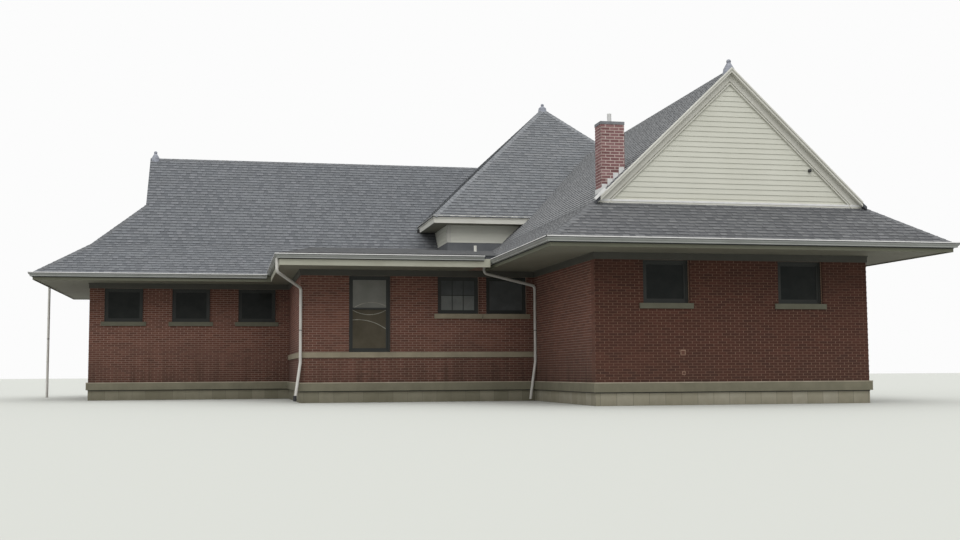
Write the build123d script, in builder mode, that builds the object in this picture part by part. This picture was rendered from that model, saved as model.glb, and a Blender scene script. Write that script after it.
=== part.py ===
"""Single-storey brick railway station with flared hip-and-gable roofs and a tower roof.

Millimetres, +Z up. The origin is on the ground at the middle of the eaves' rectangle,
+X runs along the long body to the wing's side, and the wing's gable faces -Y.
"""
import os
from math import radians, tan

from build123d import *

# Plan: outer faces of the brick walls. The wing and the long body have the same span.
main_length = 19730
overall_depth = 18820
span = 7040
infill_width = 6560
infill_setback = 5800

# Base, brickwork and floor
foundation_height = 320
foundation_width = 400
water_table_height = 230
water_table_projection = 60
water_table_wash = 20
wall_thickness = 300
course = 65
brick_courses = 45
floor_thickness = 150
belt_rise = 825
belt_height = 150
belt_projection = 40

# Windows, doors and their stone sills
high_window_width = 1160
high_sill_courses = 29
sill_height = 130
sill_projection = 45
sill_side = 100
wing_window_spacing = 3470
tall_window_width = 1140
tall_window_centre = 4670
pair_gap = 220
pair_to_corner = 230
frame_face = 60
frame_depth = 90
window_reveal = 60
glass_thickness = 8
meeting_rail_rise = 1200
sash_face = 50
sash_depth = 35
sash_setback = 15
door_width = 1060
door_leaf_height = 2130
door_leaf_thickness = 45
door_rail = 80
door_stile = 130
door_foot_rail = 220
door_lock_rail_height = 900
door_lock_rail = 160
door_panel_sunk = 12

# Eaves of the long body and the wing
rafter_reach = 1455
fascia_thickness = 25
gutter_width = 120
gutter_height = 120
gutter_sheet = 8
gutter_foot = 75
gutter_lip = 30
gutter_heel = 28
gutter_drop = 20
frieze_height = 165
frieze_thickness = 25
eave_height = 220
soffit_thickness = 20
fascia_drop = 25
skirt_height = 990
roof_thickness = 150
upper_pitch = 43.67
rake_overhang = 160
verge_thickness = 85

# Low roof over the infill block
infill_reach = 1535
infill_side_reach = 620
infill_eave_lift = 75
infill_eave_gap = 1900
infill_roof_thickness = 90
wing_gutter_run_back = 390

# Hip with a small gable at the far end of the long body
gablet_inset = 1700

# Tower: a square attic block under a pyramid roof
tower_shift = 967
tower_half = 4260
tower_reach = 505
tower_eave_rise = 853
tower_eave_height = 245
tower_crown_height = 90
tower_crown_projection = 20
attic_wall_thickness = 150
gable_wall_thickness = 150
rake_width = 255
trim_thickness = 45
trim_base_height = 50

# Chimney, finials and pipes
chimney_width = 585
chimney_depth = 460
chimney_rise = 1945
cap_height = 70
cap_overhang = 14
flue_radius = 50
flue_height = 230
flue_from_left = 290
finial_foot_radius = 165
finial_foot_sunk = 12
finial_waist_radius = 135
finial_waist_rise = 10
finial_neck_radius = 48
ridge_finial_rise = 165
tower_finial_rise = 85
finial_ball_radius = 58
pipe_radius = 40
pipe_bend = 110
pipe_shoe_height = 60
pipe_clearance = 6
elbow_drop = 175
elbow_fall = 330
kick_height = 1100
kick_run = 150
left_pipe_offset = 1000
vent_radius = 45
vent_height = 190
vent_from_wing = 1100
vent_from_front = 2900

# Walls and levels that follow from the driving sizes
right_face = main_length / 2
left_face = -main_length / 2
back_face = overall_depth / 2
front_face = -overall_depth / 2
wing_left_face = right_face - span
main_front_face = back_face - span
infill_front_face = front_face + infill_setback
infill_left_face = wing_left_face - infill_width

plinth_top = foundation_height + water_table_height
brick_top = plinth_top + brick_courses * course
high_sill_top = plinth_top + high_sill_courses * course
belt_top = plinth_top + belt_rise
soffit_level = brick_top + frieze_height
eave_top = soffit_level + eave_height
gutter_top = eave_top - gutter_drop
break_height = eave_top + skirt_height
wall_top = break_height - roof_thickness
infill_eave_top = eave_top + infill_eave_lift
infill_gutter_top = infill_eave_top - gutter_drop

upper_rise = tan(radians(upper_pitch))
skirt_rise = skirt_height / rafter_reach
wing_ridge_x = wing_left_face + span / 2
main_ridge_y = main_front_face + span / 2
ridge_top = break_height + span / 2 * upper_rise
infill_eave_y = infill_front_face - infill_reach
infill_eave_x = infill_left_face - infill_side_reach
infill_rise = (break_height - infill_eave_top) / (main_front_face - infill_eave_y)
gutter_reach = rafter_reach + fascia_thickness

tower_x = wing_ridge_x - tower_shift
tower_y = main_ridge_y - tower_shift
tower_eave_half = tower_half + tower_reach + fascia_thickness
tower_crown_half = tower_eave_half + tower_crown_projection
tower_eave_top = break_height + tower_eave_rise
tower_soffit_level = tower_eave_top - tower_eave_height
tower_apex = tower_eave_top + tower_eave_half * upper_rise

# Longer than the building each way, for layers and cuts that run right through it
beyond = 2 * (main_length + overall_depth)
# Two places nearer than this are the same
touching = 0.01
os.makedirs("parts", exist_ok=True)


def save(builder, name):
    """Label a finished piece and write its file."""
    builder.part.label = name
    export_step(builder.part, f"parts/{name}.step")


def prism(outline, bottom, top):
    """Upright prism over a plan outline."""
    with BuildPart() as piece:
        with BuildSketch(Plane.XY.offset(bottom)):
            with BuildLine():
                Polyline(*outline, close=True)
            make_face()
        extrude(amount=top - bottom)
    return piece.part


def slab(x0, x1, y0, y1, bottom, top):
    """Upright rectangular slab between two corners."""
    return prism([(x0, y0), (x1, y0), (x1, y1), (x0, y1)], bottom, top)


def band(low, high, thickness=roof_thickness):
    """Closed profile of one sloping roof layer from its eave point to its upper point."""
    return [low, high, (high[0], high[1] - thickness), (low[0], low[1] - thickness)]


def slope(plane, profile, plan):
    """Roof layer: its profile drawn along the building, then trimmed to its plan outline."""
    with BuildPart() as piece:
        with BuildSketch(plane):
            with BuildLine():
                Polyline(*profile, close=True)
            make_face()
        extrude(amount=beyond, both=True)
        with BuildSketch(Plane.XY):
            with BuildLine():
                Polyline(*plan, close=True)
            make_face()
        extrude(amount=beyond, mode=Mode.INTERSECT)
    return piece.part


def wall_outline(offset=0):
    """Outline of the brick walls' outer faces, moved outwards by an offset."""
    return [
        (wing_left_face - offset, front_face - offset),
        (right_face + offset, front_face - offset),
        (right_face + offset, back_face + offset),
        (left_face - offset, back_face + offset),
        (left_face - offset, main_front_face - offset),
        (infill_left_face - offset, main_front_face - offset),
        (infill_left_face - offset, infill_front_face - offset),
        (wing_left_face - offset, infill_front_face - offset),
    ]


def ring(outer, inner, bottom, top):
    """Band that follows the walls between two offsets of their outline."""
    with BuildPart() as piece:
        add(prism(wall_outline(outer), bottom, top))
        add(prism(wall_outline(inner), bottom, top), mode=Mode.SUBTRACT)
    return piece.part


# Base and floor
with BuildPart() as foundation:
    add(ring(0, -foundation_width, 0, foundation_height))
save(foundation, "foundation")

with BuildPart() as water_table:
    add(ring(water_table_projection, -wall_thickness, foundation_height, plinth_top))
    rim = Wire.make_polygon([(x, y, plinth_top) for x, y in wall_outline(water_table_projection)])
    chamfer([edge for edge in water_table.edges() if rim.distance_to(edge.center()) < touching],
            water_table_wash)
save(water_table, "water_table")

with BuildPart() as floor:
    add(prism(wall_outline(-wall_thickness), plinth_top - floor_thickness, plinth_top))
save(floor, "floor")


# Openings in the walls: (place along the wall, width, sill, head, kind)
def high_window(place):
    return (place, high_window_width, high_sill_top, brick_top, "high")


def tall_window(place):
    return (place, tall_window_width, belt_top, brick_top, "tall")


def doorway(place):
    return (place, door_width, plinth_top, brick_top, "door")


def in_bays(start, end, kinds):
    """One opening in the middle of each of the equal bays between two ends of a wall."""
    bay = (end - start) / len(kinds)
    return [kind(start + bay * (index + 0.5)) for index, kind in enumerate(kinds)]


first_pair_window = wing_left_face - pair_to_corner - high_window_width / 2
wing_front_openings = [
    high_window(wing_ridge_x - wing_window_spacing / 2),
    high_window(wing_ridge_x + wing_window_spacing / 2),
]
infill_front_openings = [
    tall_window(wing_left_face - tall_window_centre),
    high_window(first_pair_window),
    high_window(first_pair_window - high_window_width - pair_gap),
]
main_front_openings = in_bays(left_face, infill_left_face, [high_window, high_window, high_window])
main_left_openings = [
    high_window(main_ridge_y - wing_window_spacing / 2),
    high_window(main_ridge_y + wing_window_spacing / 2),
]
back_openings = in_bays(left_face, right_face, [
    tall_window, tall_window, doorway, tall_window, tall_window, doorway, tall_window])
right_openings = in_bays(front_face, back_face, [
    high_window, doorway, tall_window, tall_window, tall_window, high_window])


def along_x(opening, face, inward, near, far):
    """Box between two depths behind a wall face that runs along X."""
    place, width, sill, head, kind = opening
    y0, y1 = sorted((face + inward * near, face + inward * far))
    return (place - width / 2, place + width / 2, y0, y1, sill, head)


def along_y(opening, face, inward, near, far):
    """Box between two depths behind a wall face that runs along Y."""
    place, width, sill, head, kind = opening
    x0, x1 = sorted((face + inward * near, face + inward * far))
    return (x0, x1, place - width / 2, place + width / 2, sill, head)


def wall(body, openings, box_of, face, inward):
    """Brick wall with its window and door openings cut through."""
    with BuildPart() as piece:
        add(body)
        for opening in openings:
            hole = box_of(opening, face, inward, -wall_thickness, 2 * wall_thickness)
            add(slab(*hole), mode=Mode.SUBTRACT)
    return piece


# Brick walls
save(wall(slab(wing_left_face, right_face, front_face, front_face + wall_thickness, plinth_top, wall_top),
          wing_front_openings, along_x, front_face, 1), "wing_front_wall")
save(wall(slab(wing_left_face, wing_left_face + wall_thickness, front_face + wall_thickness,
               infill_front_face + wall_thickness, plinth_top, wall_top),
          [], along_y, wing_left_face, 1), "wing_left_wall")
save(wall(slab(right_face - wall_thickness, right_face, front_face + wall_thickness,
               back_face - wall_thickness, plinth_top, wall_top),
          right_openings, along_y, right_face, -1), "right_wall")
save(wall(slab(left_face, right_face, back_face - wall_thickness, back_face, plinth_top, wall_top),
          back_openings, along_x, back_face, -1), "back_wall")
save(wall(slab(left_face, left_face + wall_thickness, main_front_face + wall_thickness,
               back_face - wall_thickness, plinth_top, wall_top),
          main_left_openings, along_y, left_face, 1), "main_left_wall")
save(wall(slab(left_face, infill_left_face, main_front_face, main_front_face + wall_thickness,
               plinth_top, wall_top),
          main_front_openings, along_x, main_front_face, 1), "main_front_wall")

# Stone belt round the infill block, and the sills under the high windows
with BuildPart() as belt_course:
    with BuildSketch(Plane.XY.offset(belt_top - belt_height)):
        with BuildLine():
            Polyline((wing_left_face, infill_front_face),
                     (wing_left_face, infill_front_face - belt_projection),
                     (infill_left_face - belt_projection, infill_front_face - belt_projection),
                     (infill_left_face - belt_projection, main_front_face),
                     (infill_left_face, main_front_face),
                     (infill_left_face, infill_front_face),
                     close=True)
        make_face()
    extrude(amount=belt_height)
save(belt_course, "belt_course")

window_walls = [
    (wing_front_openings, along_x, front_face, 1),
    (infill_front_openings, along_x, infill_front_face, 1),
    (main_front_openings, along_x, main_front_face, 1),
    (main_left_openings, along_y, left_face, 1),
    (back_openings, along_x, back_face, -1),
    (right_openings, along_y, right_face, -1),
]


def sills(openings, face):
    """Spans of the sills: windows that stand close together share one, and the belt is a sill itself."""
    spans = []
    for place, width, sill, head, kind in sorted(openings):
        start, end = place - width / 2 - sill_side, place + width / 2 + sill_side
        if kind == "door" or (kind == "tall" and face == infill_front_face):
            continue
        if spans and start <= spans[-1][1] and sill == spans[-1][2]:
            spans[-1][1] = end
        else:
            spans.append([start, end, sill])
    return spans


with BuildPart() as window_sills:
    for openings, box_of, face, inward in window_walls:
        for start, end, sill in sills(openings, face):
            span_box = ((start + end) / 2, end - start, sill - sill_height, sill, "sill")
            add(slab(*box_of(span_box, face, inward, -sill_projection, 0)))
save(window_sills, "window_sills")


# Window frames with their sashes, glass and doors
def inset(opening, side):
    """The opening, or a frame in it, made smaller by the same face all round."""
    place, width, sill, head, kind = opening
    return (place, width - 2 * side, sill + side, head - side, kind)


def sashes(opening):
    """Sashes of a window, each with its depth behind the wall face. The upper one slides outside the lower."""
    place, width, sill, head, kind = inset(opening, frame_face)
    outer = window_reveal + sash_setback
    if kind == "high":
        return [((place, width, sill, head, kind), outer)]
    if kind == "tall":
        meeting = opening[2] + meeting_rail_rise
        return [((place, width, meeting - sash_face / 2, head, kind), outer),
                ((place, width, sill, meeting + sash_face / 2, kind), outer + sash_depth)]
    return []


def framed(openings, box_of, face, inward):
    """Outer frames and sashes, set back in the reveals. A doorway's frame has a transom and no foot."""
    near, far = window_reveal, window_reveal + frame_depth
    with BuildPart() as piece:
        for opening in openings:
            place, width, sill, head, kind = opening
            add(slab(*box_of(opening, face, inward, near, far)))
            clear = inset(opening, frame_face)
            if kind == "door":
                clear = (place, width - 2 * frame_face, sill, head - frame_face, kind)
            add(slab(*box_of(clear, face, inward, near, far)), mode=Mode.SUBTRACT)
            if kind == "door":
                transom_bottom = sill + door_leaf_height
                transom = (place, width - 2 * frame_face, transom_bottom, transom_bottom + door_rail, kind)
                add(slab(*box_of(transom, face, inward, near, far)))
            for sash, depth in sashes(opening):
                add(slab(*box_of(sash, face, inward, depth, depth + sash_depth)))
                light = inset(sash, sash_face)
                add(slab(*box_of(light, face, inward, depth, depth + sash_depth)), mode=Mode.SUBTRACT)
    return piece


save(framed(*window_walls[0]), "wing_window_frames")
save(framed(*window_walls[1]), "infill_window_frames")
save(framed(*window_walls[2]), "main_window_frames")
save(framed(*window_walls[3]), "left_window_frames")
save(framed(*window_walls[4]), "back_window_frames")
save(framed(*window_walls[5]), "right_window_frames")

with BuildPart() as window_glass:
    for openings, box_of, face, inward in window_walls:
        for opening in openings:
            place, width, sill, head, kind = opening
            lights = [(inset(sash, sash_face), depth + (sash_depth - glass_thickness) / 2)
                      for sash, depth in sashes(opening)]
            if kind == "door":
                over_door = (place, width - 2 * frame_face, sill + door_leaf_height + door_rail,
                             head - frame_face, kind)
                lights = [(over_door, window_reveal + (frame_depth - glass_thickness) / 2)]
            for light, depth in lights:
                add(slab(*box_of(light, face, inward, depth, depth + glass_thickness)))
save(window_glass, "window_glass")

with BuildPart() as doors:
    for openings, box_of, face, inward in window_walls:
        for opening in openings:
            place, width, sill, head, kind = opening
            if kind != "door":
                continue
            leaf_width = width - 2 * frame_face
            leaf_top = sill + door_leaf_height
            back = window_reveal + frame_depth
            front = back - door_leaf_thickness
            add(slab(*box_of((place, leaf_width, sill, leaf_top, kind), face, inward, front, back)))
            lock_rail = sill + door_lock_rail_height
            for low, high in ((sill + door_foot_rail, lock_rail),
                              (lock_rail + door_lock_rail, leaf_top - door_stile)):
                panel = (place, leaf_width - 2 * door_stile, low, high, kind)
                add(slab(*box_of(panel, face, inward, front, front + door_panel_sunk)), mode=Mode.SUBTRACT)
save(doors, "doors")

# Dark frieze board at the head of the walls
with BuildPart() as frieze:
    add(ring(frieze_thickness, 0, brick_top, soffit_level))
save(frieze, "frieze")


# Boxed eaves
def eave_outline(reach, infill_reach_front, infill_reach_side, notch):
    """Outline of the eaves, with the gap between the infill's eave and the wing's."""
    return [
        (wing_left_face - reach, infill_front_face),
        (wing_left_face - reach, front_face - reach),
        (right_face + reach, front_face - reach),
        (right_face + reach, back_face + reach),
        (left_face - reach, back_face + reach),
        (left_face - reach, main_front_face - reach),
        (infill_left_face - infill_reach_side, main_front_face - reach),
        (infill_left_face - infill_reach_side, infill_front_face - infill_reach_front),
        (wing_left_face - notch, infill_front_face - infill_reach_front),
        (wing_left_face - notch, infill_front_face),
    ]


with BuildPart() as soffit:
    add(prism(eave_outline(rafter_reach, infill_reach, infill_side_reach,
                           infill_eave_gap + fascia_thickness),
              soffit_level, soffit_level + soffit_thickness))
    add(prism(wall_outline(), soffit_level, soffit_level + soffit_thickness), mode=Mode.SUBTRACT)
save(soffit, "soffit")


def board(path, thickness, bottom, top):
    """Upright board along an open run of points, with its thickness outside the eave."""
    with BuildPart() as piece:
        with BuildSketch(Plane.XY.offset(bottom)):
            with BuildLine():
                inner_edge = Polyline(*path)
                offset(inner_edge, amount=thickness, side=Side.RIGHT, closed=True, kind=Kind.INTERSECTION)
            make_face()
        extrude(amount=top - bottom)
    return piece.part


main_eave_run = [
    (wing_left_face - rafter_reach, infill_front_face - frieze_thickness),
    (wing_left_face - rafter_reach, front_face - rafter_reach),
    (right_face + rafter_reach, front_face - rafter_reach),
    (right_face + rafter_reach, back_face + rafter_reach),
    (left_face - rafter_reach, back_face + rafter_reach),
    (left_face - rafter_reach, main_front_face - rafter_reach),
    (infill_eave_x - fascia_thickness, main_front_face - rafter_reach),
]
infill_eave_run = [
    (infill_eave_x, main_front_face - gutter_reach),
    (infill_eave_x, infill_eave_y),
    (wing_left_face - infill_eave_gap, infill_eave_y),
]

with BuildPart() as main_fascia:
    add(board(main_eave_run, fascia_thickness, soffit_level - fascia_drop, gutter_top))
save(main_fascia, "main_fascia")

with BuildPart() as infill_fascia:
    add(board(infill_eave_run, fascia_thickness, soffit_level - fascia_drop, infill_gutter_top))
save(infill_fascia, "infill_fascia")


def gutter_profile(sheet):
    """Outline of a gutter with a coved front, seen along its run from the fascia's face outwards."""
    cove_foot = (gutter_foot - sheet, gutter_heel - gutter_height)
    cove_head = (gutter_width - sheet, -gutter_lip)
    Line((sheet, 0), (sheet, sheet - gutter_height))
    Line((sheet, sheet - gutter_height), (gutter_foot - sheet, sheet - gutter_height))
    Line((gutter_foot - sheet, sheet - gutter_height), cove_foot)
    RadiusArc(cove_foot, cove_head, -gutter_height)
    Line(cove_head, (gutter_width - sheet, 0))
    Line((gutter_width - sheet, 0), (sheet, 0))


def gutter(path, top):
    """Open gutter on the face of a fascia, mitred at its corners and closed at both ends."""
    points = [Vector(x, y, top) for x, y in path]
    first = (points[1] - points[0]).normalized()
    last = (points[-1] - points[-2]).normalized()

    def across(point, run):
        return Plane(origin=point, x_dir=(run.Y, -run.X, 0), z_dir=run * -1)

    with BuildPart() as piece:
        with BuildLine():
            Polyline(*points)
        with BuildSketch(across(points[0], first)):
            with BuildLine():
                gutter_profile(0)
            make_face()
            with BuildLine():
                gutter_profile(gutter_sheet)
            make_face(mode=Mode.SUBTRACT)
        sweep(transition=Transition.RIGHT)
        for point, run, thickness in ((points[0], first, -gutter_sheet), (points[-1], last, gutter_sheet)):
            with BuildSketch(across(point, run)):
                with BuildLine():
                    gutter_profile(0)
                make_face()
            extrude(amount=thickness)
    return piece.part


main_gutter_run = [
    (wing_left_face - gutter_reach, infill_front_face - wing_gutter_run_back),
    (wing_left_face - gutter_reach, front_face - gutter_reach),
    (right_face + gutter_reach, front_face - gutter_reach),
    (right_face + gutter_reach, back_face + gutter_reach),
    (left_face - gutter_reach, back_face + gutter_reach),
    (left_face - gutter_reach, main_front_face - gutter_reach),
    (infill_eave_x - fascia_thickness - gutter_width, main_front_face - gutter_reach),
]
infill_gutter_run = [
    (infill_eave_x - fascia_thickness, main_front_face - gutter_reach),
    (infill_eave_x - fascia_thickness, infill_eave_y - fascia_thickness),
    (wing_left_face - infill_eave_gap + gutter_width, infill_eave_y - fascia_thickness),
]
with BuildPart() as main_gutter:
    add(gutter(main_gutter_run, gutter_top))
save(main_gutter, "main_gutter")

with BuildPart() as infill_gutter:
    add(gutter(infill_gutter_run, infill_gutter_top))
save(infill_gutter, "infill_gutter")


# Space that the tower takes out of the long roofs
tower_profile = [
    (-tower_eave_half, tower_soffit_level),
    (-tower_eave_half, tower_eave_top),
    (0, tower_apex),
    (tower_eave_half, tower_eave_top),
    (tower_eave_half, tower_soffit_level),
]
with BuildPart() as tower_space:
    with BuildSketch(Plane.XZ):
        with BuildLine():
            Polyline(*[(tower_x + x, z) for x, z in tower_profile], close=True)
        make_face()
    extrude(amount=beyond, both=True)
    with BuildSketch(Plane.YZ):
        with BuildLine():
            Polyline(*[(tower_y + y, z) for y, z in tower_profile], close=True)
        make_face()
    extrude(amount=beyond, both=True, mode=Mode.INTERSECT)
    add(slab(tower_x - tower_half, tower_x + tower_half, tower_y - tower_half, tower_y + tower_half,
             0, tower_soffit_level))
    add(slab(tower_x - tower_crown_half, tower_x + tower_crown_half,
             tower_y - tower_crown_half, tower_y + tower_crown_half,
             tower_eave_top - tower_crown_height, tower_eave_top))

# Roof of the wing: two flared slopes and the skirt under the gable
wing_valley = [
    (wing_left_face, main_front_face),
    (wing_left_face - rafter_reach + (infill_eave_top - eave_top) / skirt_rise, infill_eave_y),
]
chimney_x = wing_left_face + wall_thickness
chimney_y = front_face + wall_thickness
chimney_top = break_height + chimney_rise

with BuildPart() as wing_front_skirt:
    add(slope(Plane.YZ, band((front_face - rafter_reach, eave_top), (front_face, break_height)),
              [(wing_left_face - rafter_reach, front_face - rafter_reach),
               (right_face + rafter_reach, front_face - rafter_reach),
               (right_face, front_face), (wing_left_face, front_face)]))
save(wing_front_skirt, "wing_front_skirt")

with BuildPart() as wing_roof_left:
    add(slope(Plane.XZ, band((wing_left_face, break_height), (wing_ridge_x, ridge_top)),
              [(wing_left_face, front_face), (wing_ridge_x, front_face),
               (wing_ridge_x, main_ridge_y), (wing_left_face, main_front_face)]))
    add(slope(Plane.XZ, band((wing_left_face, break_height), (wing_ridge_x, ridge_top), verge_thickness),
              [(wing_left_face, front_face - rake_overhang), (wing_ridge_x, front_face - rake_overhang),
               (wing_ridge_x, front_face), (wing_left_face, front_face)]))
    add(tower_space.part, mode=Mode.SUBTRACT)
    add(wing_front_skirt.part, mode=Mode.SUBTRACT)
    add(slab(chimney_x, chimney_x + chimney_width, chimney_y, chimney_y + chimney_depth,
             plinth_top, chimney_top), mode=Mode.SUBTRACT)
    add(slope(Plane.XZ, band((wing_left_face - rafter_reach, eave_top), (wing_left_face, break_height)),
              [(wing_left_face - rafter_reach, front_face - rafter_reach), (wing_left_face, front_face),
               *wing_valley, (wing_left_face - rafter_reach, infill_eave_y)]))
save(wing_roof_left, "wing_roof_left")

with BuildPart() as wing_roof_right:
    add(slope(Plane.XZ, band((right_face, break_height), (wing_ridge_x, ridge_top)),
              [(wing_ridge_x, front_face), (right_face, front_face),
               (right_face, back_face), (wing_ridge_x, main_ridge_y)]))
    add(slope(Plane.XZ, band((right_face, break_height), (wing_ridge_x, ridge_top), verge_thickness),
              [(wing_ridge_x, front_face - rake_overhang), (right_face, front_face - rake_overhang),
               (right_face, front_face), (wing_ridge_x, front_face)]))
    add(tower_space.part, mode=Mode.SUBTRACT)
    add(wing_front_skirt.part, mode=Mode.SUBTRACT)
    add(slope(Plane.XZ, band((right_face + rafter_reach, eave_top), (right_face, break_height)),
              [(right_face, front_face), (right_face + rafter_reach, front_face - rafter_reach),
               (right_face + rafter_reach, back_face + rafter_reach), (right_face, back_face)]))
save(wing_roof_right, "wing_roof_right")

# Roof of the long body, hipped below a small gable at its far end
gablet_x = left_face + gablet_inset
gablet_base = break_height + gablet_inset * upper_rise
gablet_front = main_front_face + gablet_inset
gablet_back = back_face - gablet_inset
infill_hip_end = infill_eave_x + (break_height - infill_eave_top) / skirt_rise
infill_valley_y = main_front_face - rafter_reach + (infill_eave_top - eave_top) / skirt_rise

with BuildPart() as main_roof_left:
    add(slope(Plane.XZ, band((left_face, break_height), (gablet_x, gablet_base)),
              [(left_face, main_front_face), (gablet_x, gablet_front), (gablet_x, gablet_back),
               (left_face, back_face)]))
    add(slope(Plane.XZ, band((left_face - rafter_reach, eave_top), (left_face, break_height)),
              [(left_face - rafter_reach, main_front_face - rafter_reach), (left_face, main_front_face),
               (left_face, back_face), (left_face - rafter_reach, back_face + rafter_reach)]))
save(main_roof_left, "main_roof_left")

with BuildPart() as main_roof_front:
    add(slope(Plane.YZ, band((main_front_face, break_height), (main_ridge_y, ridge_top)),
              [(left_face, main_front_face), (wing_left_face, main_front_face),
               (wing_ridge_x, main_ridge_y), (gablet_x, main_ridge_y), (gablet_x, gablet_front)]))
    add(slope(Plane.YZ, band((main_front_face, break_height), (main_ridge_y, ridge_top), verge_thickness),
              [(gablet_x - rake_overhang, gablet_front - rake_overhang), (gablet_x, gablet_front),
               (gablet_x, main_ridge_y), (gablet_x - rake_overhang, main_ridge_y)]))
    add(tower_space.part, mode=Mode.SUBTRACT)
    add(main_roof_left.part, mode=Mode.SUBTRACT)
    add(slope(Plane.YZ, band((main_front_face - rafter_reach, eave_top), (main_front_face, break_height)),
              [(left_face - rafter_reach, main_front_face - rafter_reach),
               (infill_eave_x, main_front_face - rafter_reach), (infill_eave_x, infill_valley_y),
               (infill_hip_end, main_front_face), (left_face, main_front_face)]))
save(main_roof_front, "main_roof_front")

with BuildPart() as main_roof_back:
    add(slope(Plane.YZ, band((back_face, break_height), (main_ridge_y, ridge_top)),
              [(left_face, back_face), (gablet_x, gablet_back), (gablet_x, main_ridge_y),
               (wing_ridge_x, main_ridge_y), (right_face, back_face)]))
    add(slope(Plane.YZ, band((back_face, break_height), (main_ridge_y, ridge_top), verge_thickness),
              [(gablet_x - rake_overhang, gablet_back + rake_overhang),
               (gablet_x - rake_overhang, main_ridge_y), (gablet_x, main_ridge_y), (gablet_x, gablet_back)]))
    add(tower_space.part, mode=Mode.SUBTRACT)
    add(main_roof_left.part, mode=Mode.SUBTRACT)
    add(slope(Plane.YZ, band((back_face + rafter_reach, eave_top), (back_face, break_height)),
              [(left_face, back_face), (right_face, back_face),
               (right_face + rafter_reach, back_face + rafter_reach),
               (left_face - rafter_reach, back_face + rafter_reach)]))
save(main_roof_back, "main_roof_back")

# Low roof over the infill block, with a vent pipe through it
vent_x = wing_left_face - vent_from_wing
vent_y = infill_front_face + vent_from_front
vent_foot = infill_eave_top + (vent_y - infill_eave_y) * infill_rise - infill_roof_thickness


def vent_pipe(radius):
    with BuildPart() as piece:
        with Locations((vent_x, vent_y, vent_foot)):
            Cylinder(radius, vent_height + infill_roof_thickness,
                     align=(Align.CENTER, Align.CENTER, Align.MIN))
    return piece


with BuildPart() as infill_roof:
    add(slope(Plane.YZ, band((infill_eave_y, infill_eave_top), (main_front_face, break_height),
                             infill_roof_thickness),
              [(infill_eave_x, infill_eave_y), wing_valley[1], wing_valley[0],
               (infill_hip_end, main_front_face)]))
    add(slope(Plane.XZ, band((infill_eave_x, infill_eave_top), (infill_hip_end, break_height),
                             infill_roof_thickness),
              [(infill_eave_x, infill_eave_y), (infill_hip_end, main_front_face),
               (infill_eave_x, infill_valley_y)]))
    add(vent_pipe(vent_radius).part, mode=Mode.SUBTRACT)
save(infill_roof, "infill_roof")
save(vent_pipe(vent_radius), "roof_vent")

# Walls of the infill block, cut to the undersides of the roofs over them
infill_front_top = infill_eave_top + infill_reach * infill_rise - infill_roof_thickness
infill_side_top = infill_eave_top + infill_side_reach * skirt_rise - infill_roof_thickness
infill_hip_y = infill_eave_y + infill_side_reach * skirt_rise / infill_rise
infill_corner_y = infill_front_face + wall_thickness

with BuildPart() as infill_front_wall:
    add(wall(slab(infill_left_face, wing_left_face, infill_front_face, infill_corner_y,
                  plinth_top, infill_front_top),
             infill_front_openings, along_x, infill_front_face, 1).part)
    add(wing_roof_left.part, mode=Mode.SUBTRACT)
save(infill_front_wall, "infill_front_wall")

with BuildPart() as infill_left_wall:
    with BuildSketch(Plane.YZ.offset(infill_left_face)):
        with BuildLine():
            Polyline((infill_corner_y, plinth_top),
                     (main_front_face + wall_thickness, plinth_top),
                     (main_front_face + wall_thickness, infill_side_top),
                     (infill_hip_y, infill_side_top),
                     (infill_corner_y, infill_front_top + wall_thickness * infill_rise),
                     close=True)
        make_face()
    extrude(amount=wall_thickness)
    add(main_roof_front.part, mode=Mode.SUBTRACT)
save(infill_left_wall, "infill_left_wall")

# Gable wall of the wing and the small gable, under the roof layers
def gable(plane, middle, half, base, rise, thickness):
    """Boarded triangle that closes a roof end below its roof layer."""
    with BuildPart() as piece:
        with BuildSketch(plane):
            with BuildLine():
                Polyline((middle - half, base), (middle + half, base), (middle, base + half * rise),
                         close=True)
            make_face()
        extrude(amount=thickness)
    return piece


save(gable(Plane.XZ.offset(-front_face - gable_wall_thickness), wing_ridge_x, span / 2, wall_top,
           upper_rise, gable_wall_thickness), "gable_wall")
save(gable(Plane.YZ.offset(gablet_x), main_ridge_y, span / 2 - gablet_inset,
           gablet_base - roof_thickness, upper_rise, gable_wall_thickness), "left_gablet")

with BuildPart() as gable_trim:
    rake_drop = rake_width * (1 + upper_rise ** 2) ** 0.5
    with BuildSketch(Plane.XZ.offset(-front_face)):
        with BuildLine():
            Polyline((wing_left_face, break_height - verge_thickness),
                     (right_face, break_height - verge_thickness),
                     (wing_ridge_x, ridge_top - verge_thickness), close=True)
        make_face()
        with BuildLine():
            Polyline((wing_left_face + rake_drop / upper_rise, break_height + trim_base_height),
                     (right_face - rake_drop / upper_rise, break_height + trim_base_height),
                     (wing_ridge_x, ridge_top - rake_drop + trim_base_height), close=True)
        make_face(mode=Mode.SUBTRACT)
    extrude(amount=trim_thickness)
    add(wing_front_skirt.part, mode=Mode.SUBTRACT)
save(gable_trim, "gable_trim")

# Tower: attic walls, boxed eave and four roof slopes
def square_ring(outer, inner, bottom, top):
    """Square band round the tower's axis."""
    with BuildPart() as piece:
        add(slab(tower_x - outer, tower_x + outer, tower_y - outer, tower_y + outer, bottom, top))
        add(slab(tower_x - inner, tower_x + inner, tower_y - inner, tower_y + inner, bottom, top),
            mode=Mode.SUBTRACT)
    return piece


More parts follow.
